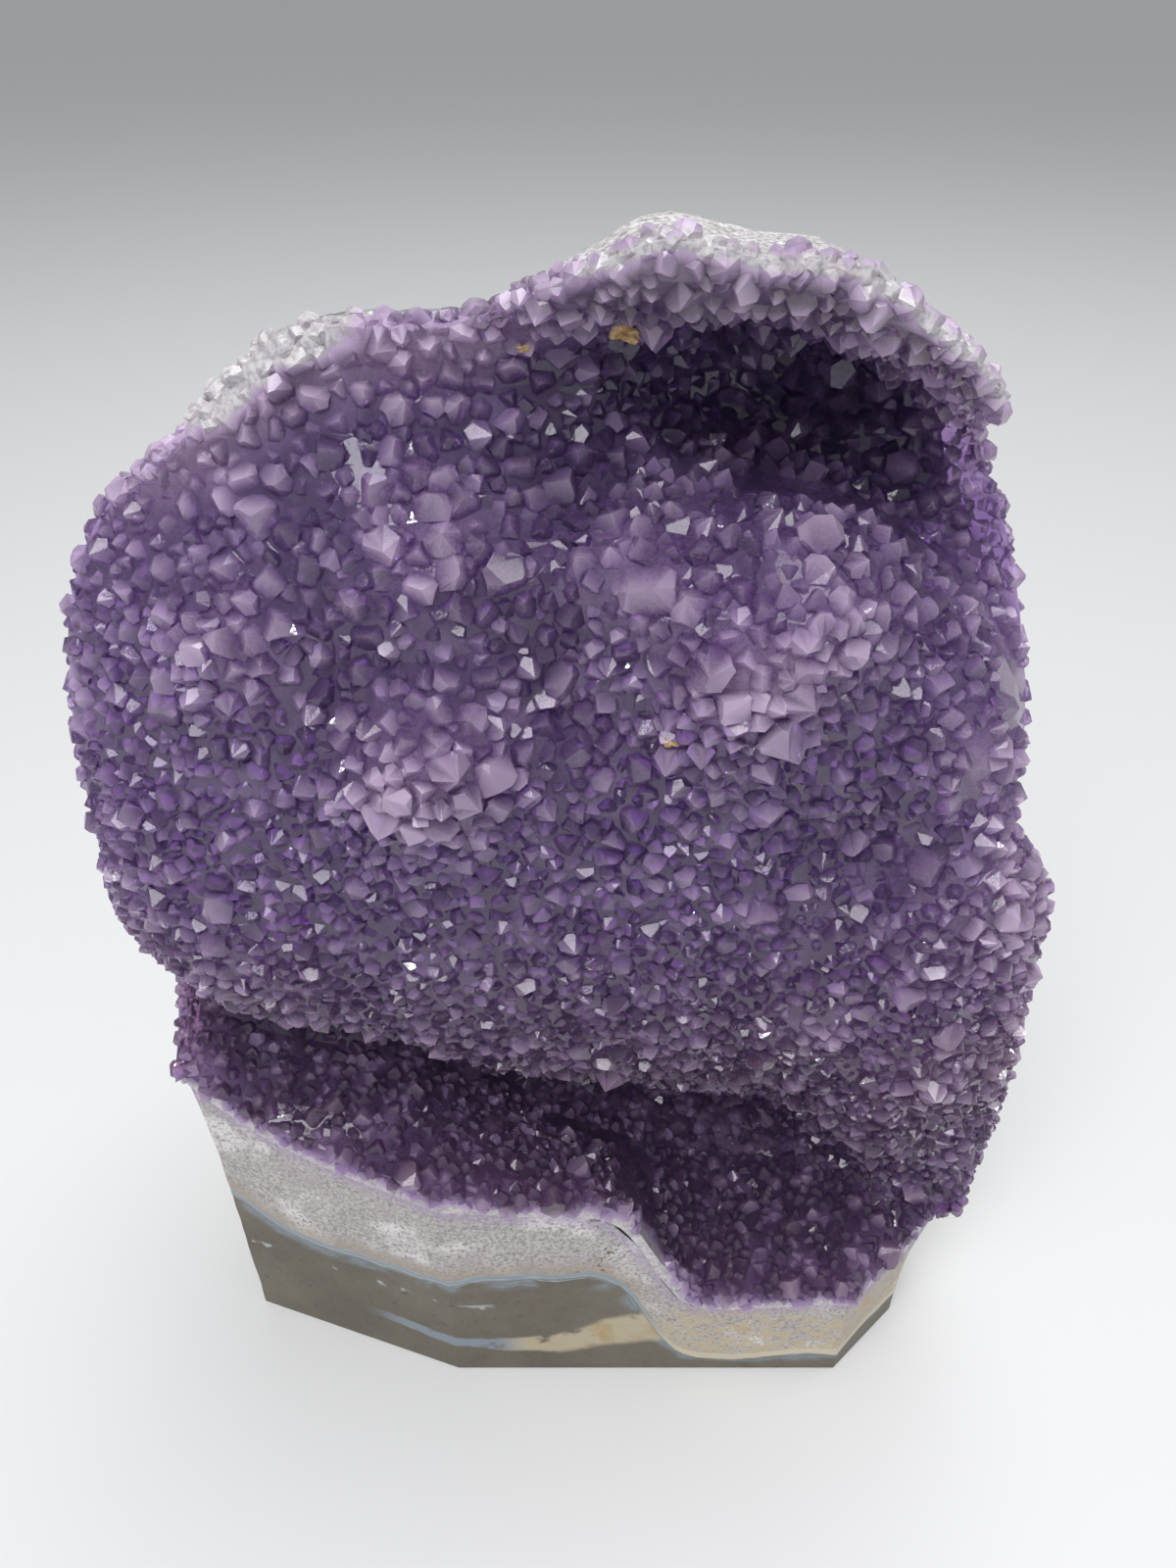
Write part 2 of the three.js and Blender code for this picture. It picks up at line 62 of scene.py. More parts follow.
# Sections of the open face: x, thickness of the white quartz under the shelf, and fourteen points as y, z
SECTIONS = (
    (-96, 27, (-74, 68, -52, 80, -38, 92, -20, 106, -23, 116, -26, 126, -27, 144,
               -26, 160, -23, 176, -21, 190, -19, 204, -18, 218, -16, 234, -16, 250)),
    (-66, 28, (-74, 66, -52, 69, -38, 76, -22, 87, -31, 99, -40, 111, -45, 134,
               -45, 156, -42, 176, -38, 190, -35, 202, -32, 216, -30, 234, -30, 250)),
    (-38, 26, (-74, 65, -52, 67, -38, 71, -21, 76, -30, 90, -42, 102, -49, 130,
               -50, 158, -47, 182, -43, 196, -39, 208, -37, 220, -36, 234, -36, 250)),
    (-12, 20, (-74, 63, -52, 65, -36, 63, -19, 56, -24, 75, -39, 87, -48, 114,
               -50, 150, -47, 186, -40, 198, -35, 206, -33, 215, -38, 225, -39, 238)),
    (6, 19, (-74, 61, -52, 62, -36, 54, -16, 44, -18, 66, -36, 81, -47, 108,
             -50, 148, -47, 190, -30, 199, -25, 207, -28, 215, -43, 224, -45, 238)),
    (20, 18, (-74, 33, -52, 34, -34, 34, -13, 36, -15, 58, -33, 74, -45, 102,
              -50, 144, -46, 192, -18, 198, -14, 208, -23, 216, -44, 224, -46, 238)),
    (38, 18, (-74, 31, -52, 32, -34, 33, -13, 35, -14, 54, -31, 70, -44, 98,
              -49, 138, -46, 189, -18, 194, -13, 204, -20, 211, -43, 218.5, -45, 233)),
    (54, 17, (-74, 30, -52, 33, -36, 34, -22, 37, -29, 53, -40, 68, -46, 96,
              -48, 132, -44, 176, -25, 186, -20, 195, -23, 202, -37, 209, -39, 223)),
    (70, 14, (-70, 24, -50, 28, -38, 33, -32, 40, -35, 53, -39, 68, -42, 94,
              -41, 124, -34, 150, -26, 168, -23, 180, -23, 192, -27, 206, -28, 222)),
    (96, 12, (-64, 14, -48, 20, -38, 28, -28, 38, -26, 52, -26, 68, -26, 94,
              -24, 120, -18, 146, -15, 162, -13, 176, -12, 192, -12, 212, -12, 232)),
)
INWARD = (-84, -82, -68, -42, -14, -4, 0, 0, 0, 0, 0, 0, 0, 0)
INWARD_AT_HOLLOW = (0, 0, 0, 0, 0, 0, 0, 0, -25, -30, 34, 68, 58, 38)

# Swells of the open face: x, z, radius, rise
SWELLS = (
    (-22, 195, 13, 4), (8, 190, 12, 4), (-46, 181, 12, 5), (-22, 164, 13, 8), (21, 178, 12, 8),
    (31, 187, 9, 5), (56, 164, 9, 6), (66, 132, 16, 5), (38, 104, 8, 3), (62, 92, 12, 3), (-58, 118, 14, 3),
    (0, 181, 12, -5), (-36, 176, 9, -3), (46, 152, 12, -5),
)

# Outline of the slab from the front, as x, z, from the lower left corner over the top to the lower right
OUTLINE = (
    (-76, -6), (-76, 26), (-77, 62), (-79, 86), (-81.5, 108), (-81, 124), (-78, 144), (-76.5, 162),
    (-72, 182), (-64, 196), (-52, 206), (-43, 214), (-36, 218.5), (-16, 219.5), (-8, 222.5), (2, 228),
    (9, 230.5), (20, 228.5), (30, 227.5), (38, 222.5), (47, 216), (52, 209), (57, 196), (63, 183),
    (66, 168), (65, 150), (69, 141), (75, 132), (78, 118), (80, 100), (83, 78), (84, 50), (81, 32),
    (72, 20), (71, -6),
)

# Rings of the slab from front to back: y, and how far the sides and the top have drawn in
RINGS = (
    (-62, 0, 0), (-30, 0, 0), (-12, 0.01, 0.01), (2, 0.05, 0.03), (15, 0.12, 0.08), (27, 0.22, 0.18),
    (36, 0.36, 0.32), (42, 0.58, 0.52),
)

# Sawn faces at the foot: left x, y, right x, y, and how high the saw reached
SAWN_FACES = ((-77, -34, -29, -50, 82), (-29, -50, 55, -50, 82), (55, -50, 73, -34, 34))


def to_frame(points: np.ndarray) -> np.ndarray:
    """Points from the tables' millimetres to metres in the frame."""
    return (points + MIDDLE) * MM


def from_frame(points: np.ndarray) -> np.ndarray:
    """Points from metres in the frame to the tables' millimetres."""
    return points / MM - MIDDLE


def smooth_between(values: np.ndarray, place: np.ndarray) -> np.ndarray:
    """Smooth curve through equally spaced values.

    Args:
        values: The values along the first axis, either one list or one column per place.
        place: Where to read the curve, as an index with a fraction.

    Returns:
        The value at each place.
    """
    last = len(values) - 1
    start = np.clip(np.floor(place).astype(int), 0, last - 1)
    t = place - start
    columns = (np.arange(len(place)),) if values.ndim > 1 else ()
    before, begin, end, after = (
        values[(np.clip(start + step, 0, last), *columns)] for step in (-1, 0, 1, 2)
    )
    bend = 2 * before - 5 * begin + 4 * end - after
    twist = 3 * (begin - end) + after - before
    return begin + 0.5 * t * (end - before + t * (bend + t * twist))


def smoothstep(values: np.ndarray, low: float, high: float) -> np.ndarray:
    """Smooth step from 0 at low to 1 at high."""
    t = np.clip((values - low) / (high - low), 0, 1)
    return t * t * (3 - 2 * t)


def waves(points: np.ndarray, size: float, seed: float = 0.0, octaves: int = 1) -> np.ndarray:
    """Smooth noise at each point.

    Args:
        points: The points, one a row.
        size: Width of the largest waves, in the points' own unit.
        seed: Shifts the noise, so that two uses differ.
        octaves: Number of ever finer layers.

    Returns:
        A value of about -1 to 1 for each point.
    """
    total = np.zeros(len(points))
    for octave in range(octaves):
        scaled = points * (2**octave / size) + seed + 17.3 * octave
        total += np.array([noise.noise(Vector(p)) for p in scaled]) / 2**octave
    return total


# Steps that every piece uses, and the shapes of the open face and the slab


def search_tree(points: np.ndarray) -> KDTree:
    """A tree that finds the nearest of some points, by their row numbers."""
    tree = KDTree(len(points))
    for index, point in enumerate(points):
        tree.insert(point, index)
    tree.balance()
    return tree


def deselect() -> None:
    """Leaves no object selected."""
    if bpy.context.mode != "OBJECT":
        bpy.ops.object.mode_set(mode="OBJECT")
    bpy.ops.object.select_all(action="DESELECT")


def select(piece: bpy.types.Object) -> None:
    """Selects one object alone and makes it the active one."""
    deselect()
    piece.select_set(True)
    bpy.context.view_layer.objects.active = piece


def points_of(piece: bpy.types.Object) -> np.ndarray:
    """The vertices of a mesh, one a row."""
    found = np.empty(len(piece.data.vertices) * 3)
    piece.data.vertices.foreach_get("co", found)
    return found.reshape(-1, 3)


def face_middles(piece: bpy.types.Object) -> tuple[np.ndarray, np.ndarray, np.ndarray]:
    """Middles, normals and areas of a mesh's faces."""
    faces = piece.data.polygons
    middles, normals, areas = (np.empty(len(faces) * size) for size in (3, 3, 1))
    faces.foreach_get("center", middles)
    faces.foreach_get("normal", normals)
    faces.foreach_get("area", areas)
    return middles.reshape(-1, 3), normals.reshape(-1, 3), areas


def move_points(piece: bpy.types.Object, points: np.ndarray) -> None:
    """Puts the vertices of a mesh at new places."""
    piece.data.vertices.foreach_set("co", np.ascontiguousarray(points, dtype=np.float32).ravel())
    piece.data.update()


def face_outwards(piece: bpy.types.Object) -> None:
    """Merges doubles and turns the faces of a closed shell outwards."""
    select(piece)
    bpy.ops.object.mode_set(mode="EDIT")
    bpy.ops.mesh.select_all(action="SELECT")
    bpy.ops.mesh.remove_doubles(threshold=1e-6)
    bpy.ops.mesh.normals_make_consistent(inside=False)
    bpy.ops.object.mode_set(mode="OBJECT")
    middles, normals, areas = face_middles(piece)
    if ((middles * normals).sum(axis=1) * areas).sum() < 0:
        bpy.ops.object.mode_set(mode="EDIT")
        bpy.ops.mesh.flip_normals()
        bpy.ops.object.mode_set(mode="OBJECT")


def combine(piece: bpy.types.Object, other: bpy.types.Object, operation: str) -> None:
    """Joins or cuts two closed solids.

    Args:
        piece: The solid that is changed.
        other: The solid that is joined to it or cut from it, which is used up.
        operation: UNION, DIFFERENCE or INTERSECT.
    """
    select(piece)
    modifier = piece.modifiers.new("combine", "BOOLEAN")
    modifier.solver = "MANIFOLD"
    modifier.operation = operation
    modifier.object = other
    bpy.ops.object.modifier_apply(modifier="combine")
    bpy.data.objects.remove(other)


def choose(piece: bpy.types.Object, part: str, wanted: np.ndarray) -> None:
    """Selects some vertices or faces of a mesh and leaves it in edit mode.

    Args:
        piece: The mesh.
        part: VERT or FACE.
        wanted: Which of them are selected.
    """
    select(piece)
    bpy.ops.object.mode_set(mode="EDIT")
    bpy.ops.mesh.select_mode(type=part)
    bpy.ops.mesh.select_all(action="DESELECT")
    bpy.ops.object.mode_set(mode="OBJECT")
    parts = piece.data.vertices if part == "VERT" else piece.data.polygons
    parts.foreach_set("select", wanted)
    bpy.ops.object.mode_set(mode="EDIT")


def straighten(piece: bpy.types.Object) -> None:
    """Takes out the vertices that only part one straight edge in two."""
    ends = np.empty(len(piece.data.edges) * 2, int)
    piece.data.edges.foreach_get("vertices", ends)
    choose(piece, "VERT", np.bincount(ends, minlength=len(piece.data.vertices)) == 2)
    bpy.ops.mesh.dissolve_verts()
    bpy.ops.object.mode_set(mode="OBJECT")


def copy_of(piece: bpy.types.Object, name: str) -> bpy.types.Object:
    """A second object with a mesh of its own."""
    twin = piece.copy()
    twin.data = piece.data.copy()
    twin.name = name
    bpy.context.scene.collection.objects.link(twin)
    return twin


@dataclass
class OpenFace:
    """The face that the crystals grow on, lofted through the sections.

    Attributes:
        columns: Number of steps across it.
        rows: Number of steps up it.
        crust: Depth of the quartz below the crystals' mean surface.
        wall_quartz: Thickness of the quartz on the wall.
        agate: Thickness of the agate.
        gap: Gap between touching layers.
        through: How far the back of a layer's solid lies, past the rock's own back.
        hollow_x: Middle of the hollow.
        hollow_half: Half of its width.
        aside: How far a copy of the face is moved while it becomes the back, in metres.
        xs: Places of the sections.
        lips: Thickness of the quartz under the shelf at each section.
    """

    columns: int = 120
    rows: int = 130
    crust: float = 7.0
    wall_quartz: float = 8.0
    agate: float = 2.4
    gap: float = 0.12
    through: float = 150.0
    hollow_x: float = 27.0
    hollow_half: float = 44.0
    aside: float = 10.0
    xs: np.ndarray = field(default_factory=lambda: np.array([s[0] for s in SECTIONS], float))
    lips: np.ndarray = field(default_factory=lambda: np.array([s[1] for s in SECTIONS], float))

    def at(self, x: np.ndarray, level: np.ndarray) -> tuple[np.ndarray, np.ndarray]:
        """Places on the face.

        Args:
            x: Place across.
            level: Place up, as a level with a fraction.

        Returns:
            The points and the unit ways into the rock, one a row, in millimetres.
        """
        place = np.interp(x, self.xs, np.arange(len(self.xs)))
        tables = np.array([s[2] for s in SECTIONS], float).reshape(len(SECTIONS), -1, 2)
        y, z = (
            smooth_between(np.array([smooth_between(table[:, axis], level) for table in tables]), place)
            for axis in (0, 1)
        )
        levels = np.arange(len(INWARD))
        near = smoothstep(1 - np.abs(x - self.hollow_x) / self.hollow_half, 0, 0.5)
        turn = np.interp(level, levels, INWARD) + near * np.interp(level, levels, INWARD_AT_HOLLOW)
        turn = np.radians(turn)
        inward = np.column_stack((np.zeros_like(turn), np.cos(turn), np.sin(turn)))
        points = np.column_stack((x, y, z))
        for swell_x, swell_z, radius, rise in SWELLS:
            reach = ((points[:, 0] - swell_x) ** 2 + (points[:, 2] - swell_z) ** 2) / radius**2
            points = points - inward * (rise * np.exp(-reach))[:, None]
        return points, inward

    def quartz_depth(self, x: np.ndarray, level: np.ndarray) -> np.ndarray:
        """Thickness of the white quartz, which is thick under the shelf."""
        lip = np.interp(x, self.xs, self.lips)
        return lip + (self.wall_quartz - lip) * smoothstep(level, 2, 5)

    def behind(
        self, name: str, depth: float, quartz_share: float, ripple: float, step: int = 1
    ) -> bpy.types.Object:
        """Everything in the rock behind one layer's front, as one solid.

        Args:
            name: Name of the object.
            depth: Depth of the front below the crystals' mean surface.
            quartz_share: 1 where the front lies behind the quartz, or 0.
            ripple: Height of the front's fine waves.
            step: How much coarser the mesh is than usual.

        Returns:
            A closed mesh.
        """
        deselect()
        bpy.ops.mesh.primitive_grid_add(
            x_subdivisions=self.columns // step, y_subdivisions=self.rows // step, size=2
        )
        sheet = bpy.context.object
        sheet.name = name
        grid = points_of(sheet)
        x = self.xs[0] + (grid[:, 0] + 1) / 2 * (self.xs[-1] - self.xs[0])
        level = (grid[:, 1] + 1) / 2 * (len(INWARD) - 1)
        points, inward = self.at(x, level)
        depths = depth + quartz_share * self.quartz_depth(x, level)
        depths = depths + ripple * waves(points, 9, 4.7, 3)
        front = to_frame(points + inward * depths[:, None])
        back = to_frame(points + inward * self.through)
        move_points(sheet, front)
        select(sheet)
        bpy.ops.object.mode_set(mode="EDIT")
        bpy.ops.mesh.select_all(action="SELECT")
        bpy.ops.mesh.extrude_region_move(TRANSFORM_OT_translate={"value": (self.aside, 0, 0)})
        bpy.ops.object.mode_set(mode="OBJECT")
        moved = points_of(sheet)
        tree = search_tree(front)
        for index in np.flatnonzero(moved[:, 0] > self.aside / 2):
            moved[index] = back[tree.find(moved[index] - (self.aside, 0, 0))[1]]
        move_points(sheet, moved)
        face_outwards(sheet)
        return sheet


@dataclass
class Slab:
    """The whole slab before it is parted into layers.

    Attributes:
        around: Number of steps round the outline.
        along: Number of steps from front to back.
        back: Where the rounded back ends, in millimetres.
        heart_z: Height of the middle of the back.
        lump: Height and width of the rock's lumps.
        chip: The same of its chips.
        grain: The same of its finest roughness.
        front_share: Share of the steps that close the front.
        dome_share: Share of the steps that round the back.
        middle_z: Height of the middle of the outline.
        prism_ends: Front and back of the straight prism.
        block: Width of the blocks that stand for the saw.
    """

    around: int = 190
    along: int = 100
    back: float = 45.5
    heart_z: float = 62.0
    lump: tuple[float, float] = (3.8, 38.0)
    chip: tuple[float, float] = (2.6, 15.0)
    grain: tuple[float, float] = (1.0, 4.2)
    front_share: float = 0.08
    dome_share: float = 0.24
    middle_z: float = 100.0
    prism_ends: tuple[float, float] = (-100.0, 60.0)
    block: float = 400.0

    def outline(self, turn: np.ndarray) -> np.ndarray:
        """Points on the outline, in millimetres.

        Args:
            turn: Place round it, from 0 to 1.

        Returns:
            x and z, one point a row.
        """
        table = np.array(OUTLINE, float)
        curve = np.arange(0, len(table) - 1 + 1e-9, 1 / 8)
        line = np.column_stack([smooth_between(table[:, axis], curve) for axis in (0, 1)])
        line = np.vstack((line, line[:1]))
        climbed = np.concatenate(([0], np.cumsum(np.hypot(*np.diff(line, axis=0).T))))
        return np.column_stack([np.interp(turn * climbed[-1], climbed, line[:, axis]) for axis in (0, 1)])

    def prism(self, name: str, grow: float) -> bpy.types.Object:
        """The outline drawn straight through, to cut the crust with.

        Args:
            name: Name of the object.
            grow: How far outside the outline it lies, in millimetres.

        Returns:
            A closed mesh.
        """
        deselect()
        bpy.ops.mesh.primitive_cylinder_add(vertices=2 * self.around, radius=1, depth=2)
        prism = bpy.context.object
        prism.name = name
        points = points_of(prism)
        turn = (np.arctan2(points[:, 1], points[:, 0]) / math.tau) % 1
        flat = self.outline(turn)
        outward = flat - np.array([0, self.middle_z])
        flat = flat + grow * outward / np.linalg.norm(outward, axis=1)[:, None]
        depth = np.where(points[:, 2] < 0, *self.prism_ends)
        move_points(prism, to_frame(np.column_stack((flat[:, 0], depth, flat[:, 1]))))
        face_outwards(prism)
        return prism

    def build(self, name: str) -> bpy.types.Object:
        """The rough slab: a ball drawn out over the rings, with a rounded and broken back.

        Args:
            name: Name of the object.

        Returns:
            A closed mesh, not yet sawn.
        """
        deselect()
        bpy.ops.mesh.primitive_uv_sphere_add(segments=self.around, ring_count=self.along, radius=1)
        slab = bpy.context.object
        slab.name = name
        ball = points_of(slab)
        turn = (np.arctan2(ball[:, 1], ball[:, 0]) / math.tau) % 1
        along = np.arccos(np.clip(ball[:, 2], -1, 1)) / math.pi
        flat = self.outline(turn)
        rings = np.array(RINGS, float)
        place = (along - self.front_share) / (1 - self.front_share - self.dome_share) * (len(rings) - 1)
        place = np.clip(place, 0, len(rings) - 1)
        y, side, top = (smooth_between(rings[:, i], place) for i in range(3))
        x = flat[:, 0] * (1 - side)
        z = flat[:, 1] * np.where(flat[:, 1] > 0, 1 - top, 1)
        dome = np.clip((along - 1 + self.dome_share) / self.dome_share, 0, 1)
        front = np.clip(1 - along / self.front_share, 0, 1)
        shut = np.maximum(1 - np.cos(dome * math.pi / 2), front)
        y = np.where(dome > 0, y + (self.back - y) * np.sin(dome * math.pi / 2), y)
        x = x * (1 - shut)
        z = z + (self.heart_z - z) * shut
        points = np.column_stack((x, y, z))
        outward = np.column_stack((x, 1.2 * (y + 8) * (y > -8), z - 95))
        outward /= np.maximum(np.linalg.norm(outward, axis=1), 1e-6)[:, None]
        rough = smoothstep(y, -34, 4)
        swell = self.lump[0] * waves(points, self.lump[1], 2.1, 2) - self.lump[0] * 0.45
        swell = swell + self.chip[0] * np.abs(waves(points, self.chip[1], 8.8, 2)) * -1.2
        swell = swell + self.grain[0] * waves(points, self.grain[1], 5.5, 2)
        points = points + outward * (swell * (0.16 + 0.84 * rough))[:, None]
        move_points(slab, to_frame(points))
        face_outwards(slab)
        return slab

    def saw(self, piece: bpy.types.Object, spare: float = 0.0) -> None:
        """Cuts a solid at the base and at the upright sawn faces.

        Args:
            piece: The solid.
            spare: How far in front of the upright faces it is cut, in millimetres.
        """
        size = self.block
        middles = [((0.0, 0.0, -size / 2), 0.0, size, size)]
        for left, front, right, back, height in SAWN_FACES:
            turn = math.atan2(back - front, right - left)
            middle = np.array([(left + right) / 2, (front + back) / 2, 0.0])
            middle += (30.0 + spare) * np.array([math.sin(turn), -math.cos(turn), 0.0])
            middles.append((tuple(middle), turn, 60.0, 2 * height))
        for middle, turn, depth, height in middles:
            deselect()
            place = to_frame(np.array(middle))
            bpy.ops.mesh.primitive_cube_add(size=1, location=tuple(place), rotation=(0, 0, turn))
            block = bpy.context.object
            block.scale = (size * MM, depth * MM, height * MM)
            bpy.ops.object.transform_apply(location=True, rotation=True, scale=True)
            combine(piece, block, "DIFFERENCE")


def on_saw_cut(points: np.ndarray, reach: float) -> np.ndarray:
    """Which points lie at an upright sawn face.

    Args:
        points: Points in the tables' millimetres, one a row.
        reach: How near the face counts.

    Returns:
        True for each such point.
    """
    found = np.zeros(len(points), bool)
    for left, front, right, back, height in SAWN_FACES:
        along = np.array([right - left, back - front], float)
        along /= np.linalg.norm(along)
        away = (points[:, 0] - left) * along[1] - (points[:, 1] - front) * along[0]
        found |= (np.abs(away) < reach) & (points[:, 2] < height + reach)
    return found


# Materials


class Wire:
    """One value in a material, which adds the nodes for the sums that it is used in."""

    def __init__(self, paint: "Paint", socket: bpy.types.NodeSocket) -> None:
        """Holds a node's output."""
        self.paint = paint
        self.socket = socket

    def __add__(self, other: "Wire | float") -> "Wire":
        """Sum."""
        return self.paint.sum("ADD", self, other)

    def __sub__(self, other: "Wire | float") -> "Wire":
        """Difference."""
        return self.paint.sum("SUBTRACT", self, other)

    def __rsub__(self, other: float) -> "Wire":
        """Difference from a number."""
        return self.paint.sum("SUBTRACT", other, self)

    def __mul__(self, other: "Wire | float") -> "Wire":
        """Product."""
        return self.paint.sum("MULTIPLY", self, other)

    def __truediv__(self, other: "Wire | float") -> "Wire":
        """Quotient."""
        return self.paint.sum("DIVIDE", self, other)

    __radd__ = __add__
    __rmul__ = __mul__


class Paint:
    """A material under construction."""

    def __init__(self, name: str) -> None:
        """Starts an empty material."""
        self.material = bpy.data.materials.new(name)
        self.material.use_nodes = True
        self.tree = self.material.node_tree
        self.tree.nodes.clear()
        self.end = self.tree.nodes.new("ShaderNodeOutputMaterial")
        self.here = self.wire("ShaderNodeTexCoord", "Object")

    def node(
        self, kind: str, settings: dict | None = None, sockets: dict | None = None
    ) -> bpy.types.Node:
        """Adds a node.

        Args:
            kind: The node's type.
            settings: Its own properties. A ramp's or a curve's points are under the name points.
            sockets: Values or wires for its inputs, by name or number.

        Returns:
            The node.
        """
        made = self.tree.nodes.new(kind)
        for name, value in (settings or {}).items():
            if name != "points":
                setattr(made, name, value)
            elif kind == "ShaderNodeValToRGB":
                stops = made.color_ramp.elements
                while len(stops) < len(value):
                    stops.new(0.5)
                for stop, (place, colour) in zip(stops, value):
                    stop.position = place
                    stop.color = (*colour, 1)
            else:
                line = made.mapping.curves[0].points
                while len(line) < len(value):
                    line.new(0.5, 0.5)
                for point, place in zip(line, value):
                    point.location = place
                made.mapping.update()
        for name, value in (sockets or {}).items():
            if isinstance(value, Wire):
                self.tree.links.new(value.socket, made.inputs[name])
            else:
                made.inputs[name].default_value = value
        return made

    def wire(
        self, kind: str, output: str | int, settings: dict | None = None, sockets: dict | None = None
    ) -> Wire:
        """Adds a node and gives one of its outputs."""
        return Wire(self, self.node(kind, settings, sockets).outputs[output])

    def sum(
        self, operation: str, first: Wire | float, second: Wire | float = 0.0, clamp: bool = False
    ) -> Wire:
        """One step of arithmetic."""
        settings = {"operation": operation, "use_clamp": clamp}
        return self.wire("ShaderNodeMath", 0, settings, {0: first, 1: second})

    def between(self, value: Wire, low: float, high: float) -> Wire:
        """Smooth step from 0 at low to 1 at high."""
        settings = {"interpolation_type": "SMOOTHSTEP"}
        sockets = {"Value": value, "From Min": low, "From Max": high}
        return self.wire("ShaderNodeMapRange", 0, settings, sockets)

    def mix(
        self, factor: Wire | float, first: Wire | Colour, second: Wire | Colour, blend: str = "MIX"
    ) -> Wire:
        """Mixes two colours."""
        settings = {"data_type": "RGBA", "blend_type": blend}
        first, second = ((*c, 1) if isinstance(c, tuple) else c for c in (first, second))
        return self.wire("ShaderNodeMix", 2, settings, {0: factor, 6: first, 7: second})

    def noise(self, scale: float, detail: float = 3, rough: float = 0.55) -> Wire:
        """Noise of 0 to 1, with its waves per metre."""
        sockets = {"Vector": self.here, "Scale": scale, "Detail": detail, "Roughness": rough}
        return self.wire("ShaderNodeTexNoise", 0, None, sockets)

    def cells(self, scale: float) -> Wire:
        """Distance from the middles of cells of random size, with their number per metre."""
        return self.wire("ShaderNodeTexVoronoi", "Distance", None, {"Vector": self.here, "Scale": scale})

    def ramp(self, value: Wire, *points: tuple[float, Colour]) -> Wire:
        """Colours along a value."""
        return self.wire("ShaderNodeValToRGB", 0, {"points": points}, {0: value})

    def axes(self) -> tuple[Wire, Wire, Wire]:
        """The place's x, y and z."""
        split = self.node("ShaderNodeSeparateXYZ", None, {0: self.here})
        return tuple(Wire(self, out) for out in split.outputs)

    def trait(self, name: str) -> Wire:
        """An attribute of the mesh, as a number."""
        return self.wire("ShaderNodeAttribute", "Fac", {"attribute_name": name})

    def bump(self, height: Wire, strength: float, distance: float) -> Wire:
        """Relief too fine for the mesh."""
        sockets = {"Height": height, "Strength": strength, "Distance": distance}
        return self.wire("ShaderNodeBump", 0, None, sockets)

    def finish(self, sockets: dict) -> bpy.types.Material:
        """Ends the material in its surface shader."""
        surface = self.wire("ShaderNodeBsdfPrincipled", 0, None, sockets)
        self.tree.links.new(surface.socket, self.end.inputs["Surface"])
        return self.material


